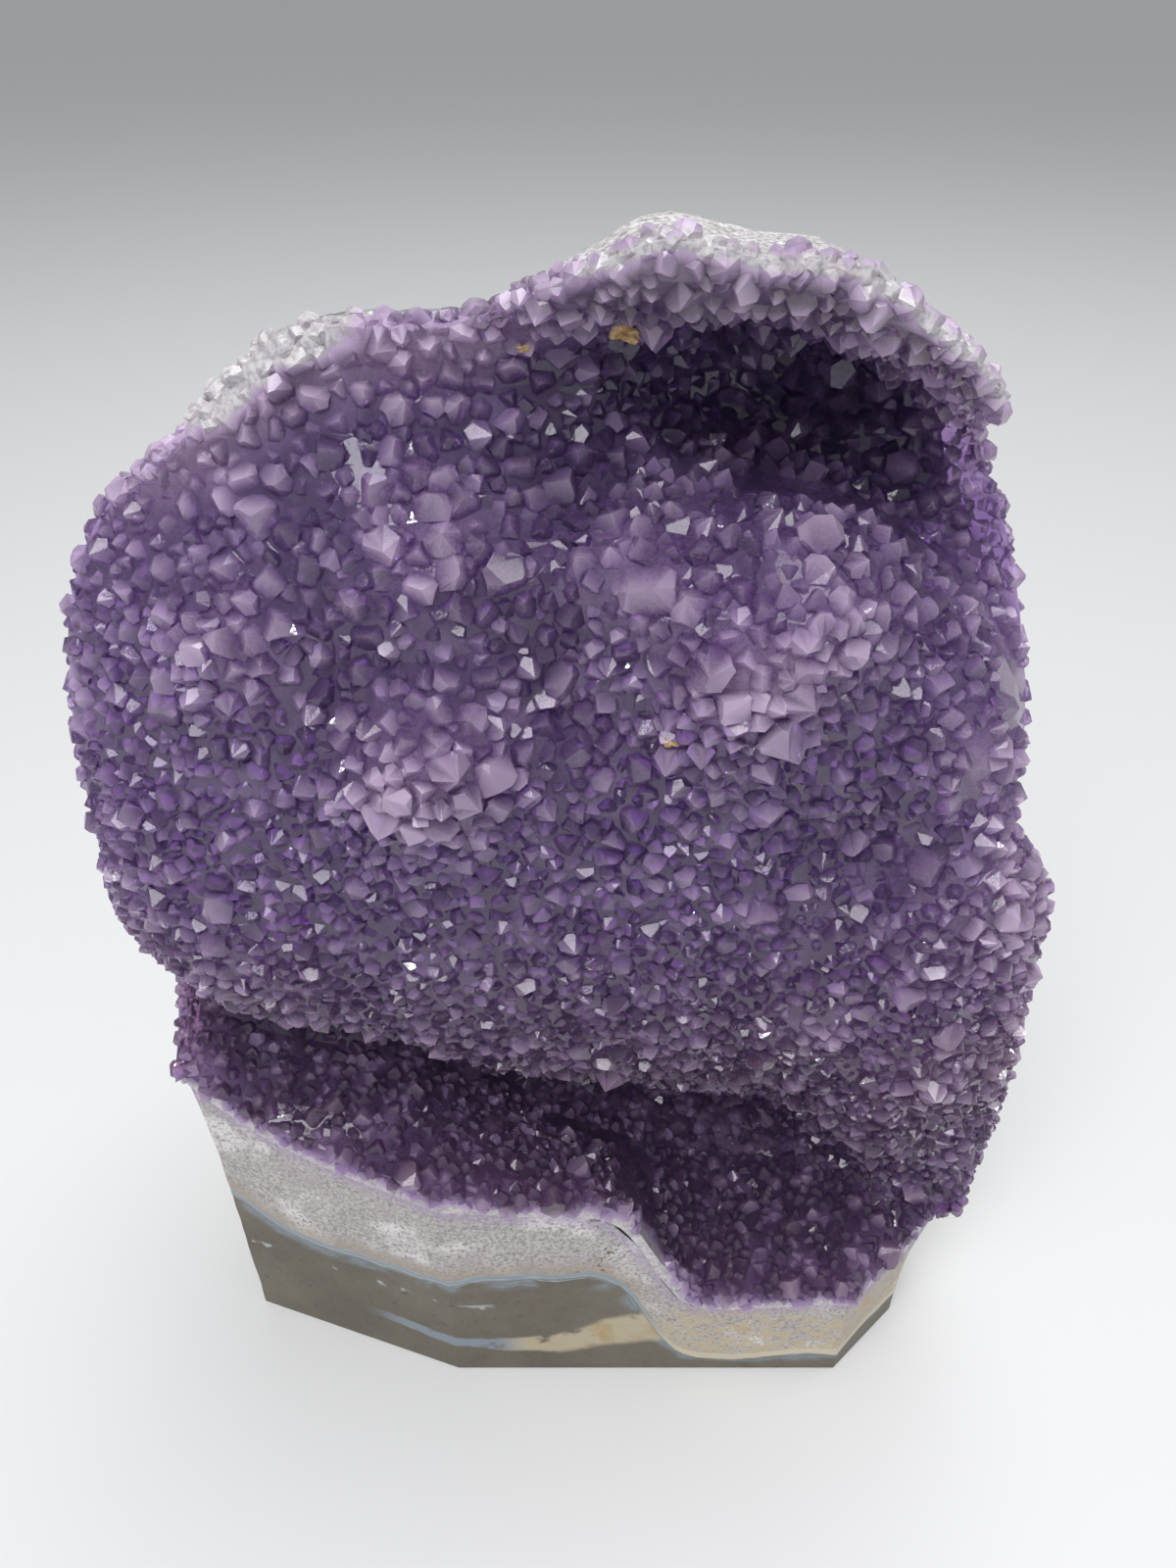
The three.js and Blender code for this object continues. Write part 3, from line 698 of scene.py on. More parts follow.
@dataclass(frozen=True)
class AmethystFinish:
    """Clear violet crystal, paler at the rim, with painted shade in the hollow, the grooves and down between
    the crystals, and painted light on their tips, the shelf and the clusters.

    Attributes:
        painted_shade_violet: Painted shade, the colour in the hollow, the grooves and down between the
            crystals.
        violet: Colour of most crystals.
        lavender: Colour of the pale clusters, paler partly in their own colour and partly by painted light
            where they stand out.
        white: Colour of the palest tips, which painted light on the tips helps to reach.
        smoky: Tint of the belly and the shelf.
        lilac: Colour of the cloudy crystals in the clusters.
        milk: Colour of the sugary crystals at the broken rim.
        milk_grey: Colour between their grains.
        clearness: Share of the light that goes through.
        absorbed: Colour that the depth keeps.
        density: How strongly it absorbs, per metre.
        index: Index of refraction of quartz.
        low: Heights over which the smoky tint fades out, in metres.
    """

    # Painted shade for the hollow, the grooves and the crystals' bases.
    painted_shade_violet: Colour = (0.13, 0.07, 0.27)
    violet: Colour = (0.50, 0.34, 0.66)
    lavender: Colour = (0.93, 0.78, 0.98)
    white: Colour = (0.99, 0.94, 1.0)
    smoky: Colour = (0.95, 0.82, 0.68)
    lilac: Colour = (0.76, 0.58, 0.84)
    milk: Colour = (0.66, 0.63, 0.65)
    milk_grey: Colour = (0.40, 0.37, 0.41)
    clearness: float = 0.92
    absorbed: Colour = (0.60, 0.35, 0.72)
    density: float = 135.0
    index: float = 1.544
    low: tuple[float, float] = (0.08, 0.15)

    def material(self) -> bpy.types.Material:
        """Builds the material from the crust's attributes."""
        paint = Paint("amethyst")
        shade, pale = paint.trait("shade"), paint.trait("pale")
        # The pale attribute holds the crystals' own paleness together with painted shade and painted light;
        # the ramp turns it into colour.
        value = pale + 0.26 * (shade - 0.5) + 0.16 * (paint.noise(60, 3) - 0.5)
        colour = paint.ramp(
            value, (0.0, self.painted_shade_violet), (0.36, self.violet), (0.72, self.lavender), (1.0, self.white)
        )
        low = 1 - paint.between(paint.axes()[2], *self.low)
        colour = paint.mix(low, colour, self.smoky, "MULTIPLY")
        haze = paint.between(paint.noise(420, 4, 0.6), 0.42, 0.74)
        sugar = paint.noise(900, 4, 0.7)
        clear = paint.wire("ShaderNodeBsdfPrincipled", 0, None, {
            "Base Color": colour,
            "Roughness": 0.02 + 0.12 * haze + 0.06 * shade,
            "IOR": self.index,
            "Transmission Weight": self.clearness,
            "Normal": paint.bump(paint.noise(1400, 2), 0.12, 0.0002),
        })
        milk = paint.sum("ADD", paint.trait("milk"), 0.30 * (shade - 0.5), True)
        cloudy = paint.ramp(value, (0.25, self.violet), (0.8, self.lilac))
        broken = paint.mix(paint.between(sugar, 0.35, 0.6), self.milk_grey, self.milk)
        milky = paint.wire("ShaderNodeBsdfPrincipled", 0, None, {
            "Base Color": paint.mix(paint.between(milk, 0.5, 0.8), cloudy, broken),
            "Roughness": 0.25 + 0.3 * sugar,
            "IOR": self.index,
            "Coat Weight": 0.6,
            "Coat Roughness": 0.06,
            "Normal": paint.bump(sugar, 0.4, 0.0003),
        })
        share = 0.06 + 0.9 * milk
        surface = paint.wire("ShaderNodeMixShader", 0, None, {0: share, 1: clear, 2: milky})
        paint.tree.links.new(surface.socket, paint.end.inputs["Surface"])
        kept = paint.wire(
            "ShaderNodeVolumeAbsorption", 0, None, {"Color": (*self.absorbed, 1), "Density": self.density}
        )
        paint.tree.links.new(kept.socket, paint.end.inputs["Volume"])
        return paint.material


@dataclass(frozen=True)
class QuartzFinish:
    """Sugary white quartz: pinkish white grains with grey between them, beige next to the agate.

    Attributes:
        white: Colour of the sawn grains.
        snow: Colour of the broken grains, and of the brightest sawn patches.
        pink: Tint of some patches.
        grey: Colour between the grains.
        beige: Tint next to the agate.
        cream: Colour at the lower right.
        ochre: Colour of the stains there.
        brown: Colour of the specks by the agate's loop.
        violet: Tint just below the crystals.
    """

    white: Colour = (0.52, 0.49, 0.48)
    snow: Colour = (0.86, 0.83, 0.84)
    pink: Colour = (0.38, 0.32, 0.34)
    grey: Colour = (0.19, 0.18, 0.18)
    beige: Colour = (0.32, 0.27, 0.21)
    cream: Colour = (0.48, 0.40, 0.26)
    ochre: Colour = (0.46, 0.29, 0.11)
    brown: Colour = (0.16, 0.10, 0.06)
    violet: Colour = (0.34, 0.25, 0.42)

    def material(self, polished: bool) -> bpy.types.Material:
        """Builds the material.

        Args:
            polished: Whether it is a sawn face, with its pattern in section.

        Returns:
            The material.
        """
        paint = Paint("quartz_polished" if polished else "quartz_broken")
        x, _, z = paint.axes()
        grains = paint.cells(900)
        sugar = paint.noise(1300, 5, 0.75)
        patches = paint.noise(150, 4, 0.6)
        white = self.white if polished else self.snow
        colour = paint.mix(paint.between(sugar, 0.34, 0.62), self.grey, white)
        colour = paint.mix(paint.between(patches, 0.48, 0.70) * 0.5, colour, self.pink)
        if polished:
            top = paint.trait("below_crystals")
            foot = paint.trait("above_agate")
            right = paint.between(x, 0.004, 0.018)
            wander = 0.0035 * (paint.noise(110, 3) - 0.5)
            streak = paint.noise(500, 4, 0.65)
            bright = paint.between(paint.noise(70, 3), 0.5, 0.66) * paint.between(sugar, 0.4, 0.5)
            colour = paint.mix(bright * 0.6, colour, self.snow)
            edge = (1 - paint.between(top + wander, 0.0, 0.004)) * streak
            colour = paint.mix(edge, colour, self.violet)
            edge = (1 - paint.between(foot + wander, 0.001, 0.006)) * (1 - right) * 0.7
            colour = paint.mix(edge, colour, self.beige)
            low = 1 - paint.between(z + 2 * wander, 0.018, 0.027)
            colour = paint.mix(low * right * paint.between(streak, 0.38, 0.62), colour, self.cream)
            stain = paint.between(paint.noise(130, 4, 0.6), 0.55, 0.68) * low * right
            colour = paint.mix(stain * 0.55, colour, self.ochre)
            speck = paint.between(paint.noise(600, 2), 0.62, 0.7)
            loop = 1 - paint.between(paint.sum("ABSOLUTE", x - 0.001), 0.003, 0.008)
            loop = loop * paint.between(z, 0.030, 0.034)
            colour = paint.mix(speck * loop, colour, self.brown)
        height = sugar + 0.5 * grains
        sockets = {
            "Base Color": colour,
            "Roughness": 0.28 + 0.35 * sugar,
            "Normal": paint.bump(height, 0.15 if polished else 0.7, 0.0004),
        }
        return paint.finish(sockets)


@dataclass(frozen=True)
class AgateFinish:
    """Blue-grey agate with fine light and dark lines that follow the band.

    Attributes:
        light: Colour of the lines and the band's edges.
        blue: Colour of the band.
        dark: Colour of its darkest line.
        cream: Colour at the lower right.
    """

    light: Colour = (0.34, 0.38, 0.40)
    blue: Colour = (0.16, 0.21, 0.27)
    dark: Colour = (0.06, 0.065, 0.07)
    cream: Colour = (0.62, 0.54, 0.38)

    def material(self) -> bpy.types.Material:
        """Builds the material from the depth in the band."""
        paint = Paint("agate")
        x, _, z = paint.axes()
        across = paint.trait("across") + 0.5 * (paint.noise(160, 4) - 0.5)
        lines = 0.5 + 0.5 * paint.sum("SINE", across * 26)
        stops = ((0.0, self.light), (0.35, self.blue), (0.6, self.light), (0.8, self.dark), (1.0, self.light))
        colour = paint.ramp(across, *stops)
        colour = paint.mix(lines * 0.35, colour, self.light)
        right = paint.between(x, 0.008, 0.020) * (1 - paint.between(z, 0.040, 0.055))
        colour = paint.mix(right * 0.85, colour, self.cream)
        sockets = {
            "Base Color": colour,
            "Roughness": 0.22 + 0.3 * paint.noise(300, 3),
            "Normal": paint.bump(paint.noise(800, 3), 0.12, 0.0002),
        }
        return paint.finish(sockets)


@dataclass(frozen=True)
class BasaltFinish:
    """Grey-brown basalt, rough where it broke, with veins and pits where it is sawn.

    Attributes:
        grey: Colour of most of the rock.
        light: Colour of its paler patches.
        dusty: Colour of the weathered skin where it broke.
        dark: Colour of the dark grains, and painted shade in the pits.
        rust: Colour of the stains and the brown specks.
        vein_blue: Colour of the second vein at the left.
        vein_cream: Colour of it at the right.
        vein_ochre: Colour of its stains.
        streak: Colour of the pale streaks.
        vein_course: Height of the second vein from left to right, as shares of vein_room.
        vein_room: Height that the vein stays below, in metres.
        streak_z: Height of the pale streaks, in metres.
        specks_z: Height of the row of brown specks, in metres.
    """

    grey: Colour = (0.102, 0.087, 0.062)
    light: Colour = (0.148, 0.130, 0.096)
    dusty: Colour = (0.26, 0.235, 0.19)
    # Dark grains, and painted shade in the pits.
    dark: Colour = (0.045, 0.039, 0.030)
    rust: Colour = (0.15, 0.09, 0.04)
    vein_blue: Colour = (0.22, 0.27, 0.32)
    vein_cream: Colour = (0.48, 0.42, 0.29)
    vein_ochre: Colour = (0.42, 0.27, 0.10)
    streak: Colour = (0.36, 0.40, 0.40)
    vein_course: tuple[tuple[float, float], ...] = (
        (0.0, 0.30), (0.28, 0.24), (0.42, 0.20), (0.55, 0.34), (0.72, 0.36), (1.0, 0.30),
    )
    vein_room: float = 0.05
    streak_z: float = 0.0255
    specks_z: float = 0.0235

    def material(self, polished: bool) -> bpy.types.Material:
        """Builds the material.

        Args:
            polished: Whether it is a sawn face, with the veins that the saw laid open.

        Returns:
            The material.
        """
        paint = Paint("basalt_polished" if polished else "basalt_broken")
        mottle = paint.noise(55, 5, 0.6)
        fine = paint.noise(900, 4, 0.7)
        colour = paint.mix(paint.between(mottle, 0.3, 0.7), self.grey, self.light)
        if not polished:
            dust = 0.15 + 0.75 * paint.between(paint.noise(26, 6, 0.7), 0.36, 0.64)
            colour = paint.mix(dust, colour, self.dusty)
        colour = paint.mix(paint.between(fine, 0.55, 0.75) * 0.45, colour, self.dark)
        pits = 1 - paint.between(paint.cells(260) + 0.5 * (paint.noise(420, 3) - 0.5), 0.04, 0.20)
        pits = pits * paint.between(paint.noise(120, 2), 0.5, 0.62)
        rough: Wire | float = 0.78 + 0.15 * fine
        height = fine - 1.2 * pits
        if polished:
            # Painted shade in the pits.
            colour = paint.mix(pits * 0.6, colour, self.dark)
            colour = self.veins(paint, colour)
            rough = 0.38 + 0.25 * fine
            height = 0.3 * fine - pits
        else:
            rusty = paint.between(paint.noise(38, 4, 0.65), 0.52, 0.72)
            colour = paint.mix(rusty * 0.55, colour, self.rust)
            # Painted shade in the pits.
            colour = paint.mix(pits * 0.55, colour, self.dark)
            height = height + 2 * paint.noise(180, 5, 0.65)
        sockets = {
            "Base Color": colour,
            "Roughness": rough,
            "Normal": paint.bump(height, 0.25 if polished else 0.8, 0.0005),
        }
        return paint.finish(sockets)

    def veins(self, paint: Paint, colour: Wire) -> Wire:
        """Adds the second vein, the pale streaks and the row of brown specks.

        Args:
            paint: The material.
            colour: The rock's colour.

        Returns:
            The colour with them.
        """
        x, _, z = paint.axes()
        wander = 0.004 * (paint.noise(90, 4, 0.6) - 0.5)
        share = (x + 0.08) / 0.16
        middle = paint.wire("ShaderNodeFloatCurve", 0, {"points": self.vein_course}, {1: share})
        below = paint.trait("below_agate") + 0.004 * (paint.noise(240, 4, 0.65) - 0.5)
        lines = 0.5 + 0.5 * paint.sum("SINE", below * 5200)
        halo = (1 - paint.between(below, 0.0005, 0.0036)) * paint.between(paint.noise(70, 3), 0.42, 0.56)
        colour = paint.mix(halo * (0.45 + 0.5 * lines), colour, self.vein_blue)
        off = paint.sum("ABSOLUTE", z + wander - middle * self.vein_room)
        width = 0.0018 + 0.0040 * paint.between(x, -0.03, 0.012)
        vein = 1 - paint.between(off / width, 0.7, 1.15)
        begin = paint.between(x, -0.052, -0.040) * paint.between(paint.noise(140, 3), 0.28, 0.42)
        tint = paint.mix(paint.between(x, -0.022, -0.014), self.vein_blue, self.vein_cream)
        ochre = paint.between(paint.noise(120, 4, 0.6), 0.5, 0.64) * paint.between(x, -0.018, -0.008)
        tint = paint.mix(ochre * 0.7, tint, self.vein_ochre)
        colour = paint.mix(vein * begin * 0.9, colour, tint)
        streaks = 1 - paint.between(paint.sum("ABSOLUTE", z + wander - self.streak_z) / 0.0011, 0.5, 1.0)
        broken = paint.between(paint.noise(160, 2), 0.56, 0.62) * (1 - paint.between(x, -0.025, -0.018))
        colour = paint.mix(streaks * broken, colour, self.streak)
        row = 1 - paint.between(paint.sum("ABSOLUTE", z + wander - self.specks_z) / 0.0009, 0.5, 1.0)
        specks = paint.between(paint.noise(500, 3), 0.56, 0.66) * paint.between(x, -0.035, -0.028)
        specks = specks * (1 - paint.between(x, -0.016, -0.010))
        return paint.mix(row * specks, colour, self.rust)


@dataclass(frozen=True)
class GrainFinish:
    """Tan mineral grains caught between the crystals.

    Attributes:
        tan: Colour of most of a grain.
        pale: Colour of its worn spots.
    """

    tan: Colour = (0.34, 0.20, 0.08)
    pale: Colour = (0.52, 0.38, 0.20)

    def material(self) -> bpy.types.Material:
        """Builds the material."""
        paint = Paint("tan_grain")
        fine = paint.noise(900, 4, 0.6)
        sockets = {
            "Base Color": paint.mix(paint.between(fine, 0.35, 0.65), self.tan, self.pale),
            "Roughness": 0.5 + 0.3 * fine,
            "Normal": paint.bump(fine, 0.5, 0.0003),
        }
        return paint.finish(sockets)


@dataclass(frozen=True)
class FloorFinish:
    """Plain pale floor."""

    colour: Colour = (0.78, 0.785, 0.79)

    def material(self) -> bpy.types.Material:
        """Builds the material."""
        paint = Paint("floor")
        return paint.finish({"Base Color": (*self.colour, 1), "Roughness": 0.55})


def dress(piece: bpy.types.Object, *materials: bpy.types.Material) -> None:
    """Gives a mesh its materials in order and keeps which face has which.

    Args:
        piece: The mesh.
        materials: Its materials.
    """
    which = np.empty(len(piece.data.polygons), np.int32)
    piece.data.polygons.foreach_get("material_index", which)
    piece.data.materials.clear()
    for material in materials:
        piece.data.materials.append(material)
    piece.data.polygons.foreach_set("material_index", np.minimum(which, len(materials) - 1))


def set_trait(piece: bpy.types.Object, name: str, values: np.ndarray, domain: str = "POINT") -> None:
    """Writes one number for each vertex or face of a mesh."""
    layer = piece.data.attributes.get(name) or piece.data.attributes.new(name, "FLOAT", domain)
    layer.data.foreach_set("value", values.astype(np.float32))


def tree_of(piece: bpy.types.Object) -> BVHTree:
    """A search tree over a mesh's faces."""
    faces = [tuple(face.vertices) for face in piece.data.polygons]
    return BVHTree.FromPolygons(points_of(piece).tolist(), faces)


def distances(points: np.ndarray, tree: BVHTree) -> np.ndarray:
    """Distance of each point from a surface."""
    return np.array([tree.find_nearest(Vector(point))[3] for point in points])


# Crystals, layers and the room


class Habit(Enum):
    """How the six end faces of a crystal are set: the height at which each plane crosses the axis."""

    EVEN = (1.10, 1.12, 1.08, 1.13, 1.10, 1.07)
    THREE_SIDED = (0.86, 1.22, 0.84, 1.24, 0.88, 1.20)
    ONE_LARGE = (0.62, 1.05, 1.15, 1.10, 1.20, 0.98)
    CHISEL = (0.80, 1.15, 1.18, 0.82, 1.14, 1.20)
    LEANING = (0.95, 0.78, 1.20, 1.22, 1.16, 0.90)
    BLUNT = (0.72, 0.90, 0.75, 0.98, 0.70, 0.92)


@dataclass
class Mould:
    """Models one crystal of each habit, one unit wide from its axis to its edges.

    Attributes:
        face_tilt: Angle of an end face's normal from the axis, in degrees.
        root: How far it reaches below its place, in its own units.
        height: How far it reaches above its place before its end faces are cut.
        foot: Width of its foot as a share of its own width.
        merged: Distance at which its corners become one.
    """

    face_tilt: float = 48.0
    root: float = 0.9
    height: float = 2.4
    foot: float = 0.45
    merged: float = 0.02

    def cast(self, habit: Habit) -> tuple[np.ndarray, list[np.ndarray]]:
        """Models a crystal.

        Args:
            habit: How its end faces are set.

        Returns:
            Its vertices, one a row, and its faces.
        """
        deselect()
        depth, middle = self.height + self.root, (self.height - self.root) / 2
        bpy.ops.mesh.primitive_cylinder_add(vertices=6, radius=1, depth=depth, location=(0, 0, middle))
        crystal = bpy.context.object
        bpy.ops.object.transform_apply(location=True, rotation=True, scale=True)
        bpy.ops.object.mode_set(mode="EDIT")
        tilt = math.radians(self.face_tilt)
        for side, crossing in enumerate(habit.value):
            turn = math.radians(60 * side + 30)
            normal = (math.cos(turn) * math.sin(tilt), math.sin(turn) * math.sin(tilt), math.cos(tilt))
            bpy.ops.mesh.select_all(action="SELECT")
            place = (0, 0, crossing)
            bpy.ops.mesh.bisect(plane_co=place, plane_no=normal, use_fill=True, clear_outer=True)
        bpy.ops.mesh.select_all(action="SELECT")
        bpy.ops.mesh.remove_doubles(threshold=self.merged)
        bpy.ops.object.mode_set(mode="OBJECT")
        points = points_of(crystal)
        low = points[:, 2] < -self.root / 2
        points[low, :2] *= self.foot
        faces = [np.array(face.vertices) for face in crystal.data.polygons]
        bpy.data.objects.remove(crystal)
        return points, faces


@dataclass
class Seeds:
    """Crystals to grow: where each stands and how large it is, in metres.

    Attributes:
        places: Where they stand, one a row.
        axes: Unit ways that they point.
        radii: From the axis to the edges.
        lengths: Extra length under the end faces.
        habits: Number of each one's habit.
        spins: Turn about the axis.
        shades: A random number from 0 to 1 for each one's colour.
    """

    places: np.ndarray
    axes: np.ndarray
    radii: np.ndarray
    lengths: np.ndarray
    habits: np.ndarray
    spins: np.ndarray
    shades: np.ndarray

    def crystal(self, index: int, mould: tuple[np.ndarray, list[np.ndarray]]) -> np.ndarray:
        """The vertices of one crystal in its place."""
        points = mould[0] * self.radii[index]
        points[:, 2] += np.where(mould[0][:, 2] > 0, self.lengths[index], 0)
        turn = Vector((0, 0, 1)).rotation_difference(Vector(self.axes[index])).to_matrix()
        turn = turn @ Matrix.Rotation(self.spins[index], 3, "Z")
        return points @ np.array(turn).T + self.places[index]

    def classes(self) -> list[np.ndarray]:
        """Parts the crystals into classes in which none touches another.

        Returns:
            The numbers of the crystals in each class.
        """
        # A ball round each crystal, with its corners and its tip inside
        reach = self.radii * 1.35 + self.lengths * 0.5
        middles = self.places + self.axes * (self.lengths * 0.5 + self.radii * 0.1)[:, None]
        tree = search_tree(middles)
        chosen = np.full(len(middles), -1)
        widest = reach.max()
        for index in np.argsort(-reach):
            taken = set()
            for _, other, gap in tree.find_range(Vector(middles[index]), reach[index] + widest):
                if chosen[other] >= 0 and gap < reach[index] + reach[other]:
                    taken.add(chosen[other])
            free = 0
            while free in taken:
                free += 1
            chosen[index] = free
        return [np.flatnonzero(chosen == number) for number in range(chosen.max() + 1)]

    def grow_on(self, bed: bpy.types.Object, moulds: list[tuple[np.ndarray, list[np.ndarray]]]) -> None:
        """Grows the crystals on a solid, so that all become one closed mesh.

        Args:
            bed: The solid.
            moulds: One crystal of each habit.
        """
        for number, members in enumerate(self.classes()):
            points, faces, shades, start = [], [], [], 0
            for index in members:
                mould = moulds[self.habits[index]]
                points.append(self.crystal(index, mould))
                faces.extend((face + start).tolist() for face in mould[1])
                shades.append(np.full(len(mould[1]), self.shades[index]))
                start += len(mould[0])
            mesh = bpy.data.meshes.new(f"class_{number}")
            mesh.from_pydata(np.vstack(points), [], faces)
            batch = bpy.data.objects.new(f"class_{number}", mesh)
            bpy.context.scene.collection.objects.link(batch)
            set_trait(batch, "shade", np.concatenate(shades), "FACE")
            combine(bed, batch, "UNION")
            LOG.info("class %d: %d crystals, %d faces", number, len(members), len(bed.data.polygons))


def scatter(
    places: np.ndarray, radii: np.ndarray, spacing: float, kept: list[tuple[np.ndarray, float]]
) -> list[int]:
    """Picks candidates that keep their distance from each other.

    Args:
        places: Candidates in the order in which they are tried.
        radii: Their radii.
        spacing: Least distance as a share of both radii's sum.
        kept: Places and radii that are already taken, which grows.

    Returns:
        The numbers of the candidates that are kept.
    """
    cell = 2 * spacing * max([radii.max(), *(radius for _, radius in kept)])
    table: dict[tuple[int, int, int], list[tuple[np.ndarray, float]]] = {}
    for entry in kept:
        table.setdefault(tuple(np.floor(entry[0] / cell).astype(int)), []).append(entry)
    found = []
    around = [(i, j, k) for i in (-1, 0, 1) for j in (-1, 0, 1) for k in (-1, 0, 1)]
    for index, (place, radius) in enumerate(zip(places, radii)):
        home = np.floor(place / cell).astype(int)
        near = (entry for step in around for entry in table.get(tuple(home + step), ()))
        if all(math.dist(place, other) > spacing * (radius + size) for other, size in near):
            table.setdefault(tuple(home), []).append((place, radius))
            kept.append((place, radius))
            found.append(index)
    return found


def sample(piece: bpy.types.Object, wanted: np.ndarray, count: int, random: np.random.Generator) -> tuple:
    """Random places on some of a mesh's faces.

    Args:
        piece: The mesh, of triangles or convex faces.
        wanted: Which faces count.
        count: How many places.
        random: The stream of random numbers.

    Returns:
        The places and the faces' normals there, one a row.
    """
    piece.data.calc_loop_triangles()
    triangles = piece.data.loop_triangles
    corners, owners = np.empty(len(triangles) * 3, int), np.empty(len(triangles), int)
    triangles.foreach_get("vertices", corners)
    triangles.foreach_get("polygon_index", owners)
    corners = points_of(piece)[corners.reshape(-1, 3)]
    normals = face_middles(piece)[1][owners]
    areas = np.linalg.norm(np.cross(corners[:, 1] - corners[:, 0], corners[:, 2] - corners[:, 0]), axis=1)
    areas = areas * wanted[owners]
    picked = random.choice(len(areas), count, p=areas / areas.sum())
    a, b = random.random(count), random.random(count)
    a, b = np.where(a + b > 1, 1 - a, a), np.where(a + b > 1, 1 - b, b)
    found = corners[picked]
    sides = found[:, 1:] - found[:, :1]
    return found[:, 0] + a[:, None] * sides[:, 0] + b[:, None] * sides[:, 1], normals[picked]


@dataclass(frozen=True)
class Sowing:
    """One size of crystal and how thickly it grows.

    Attributes:
        radius: From the axis to the edges, in millimetres.
        spacing: Least distance of neighbours as a share of both radii's sum.
        rise: How far it stands out, as a share of its radius.
        tries: How many places are tried.
        upper: Share of the tried places that count in the upper half.
        lower: The same in the lower half.
    """

    radius: float
    spacing: float
    rise: float
    tries: int
    upper: float = 1.0
    lower: float = 1.0


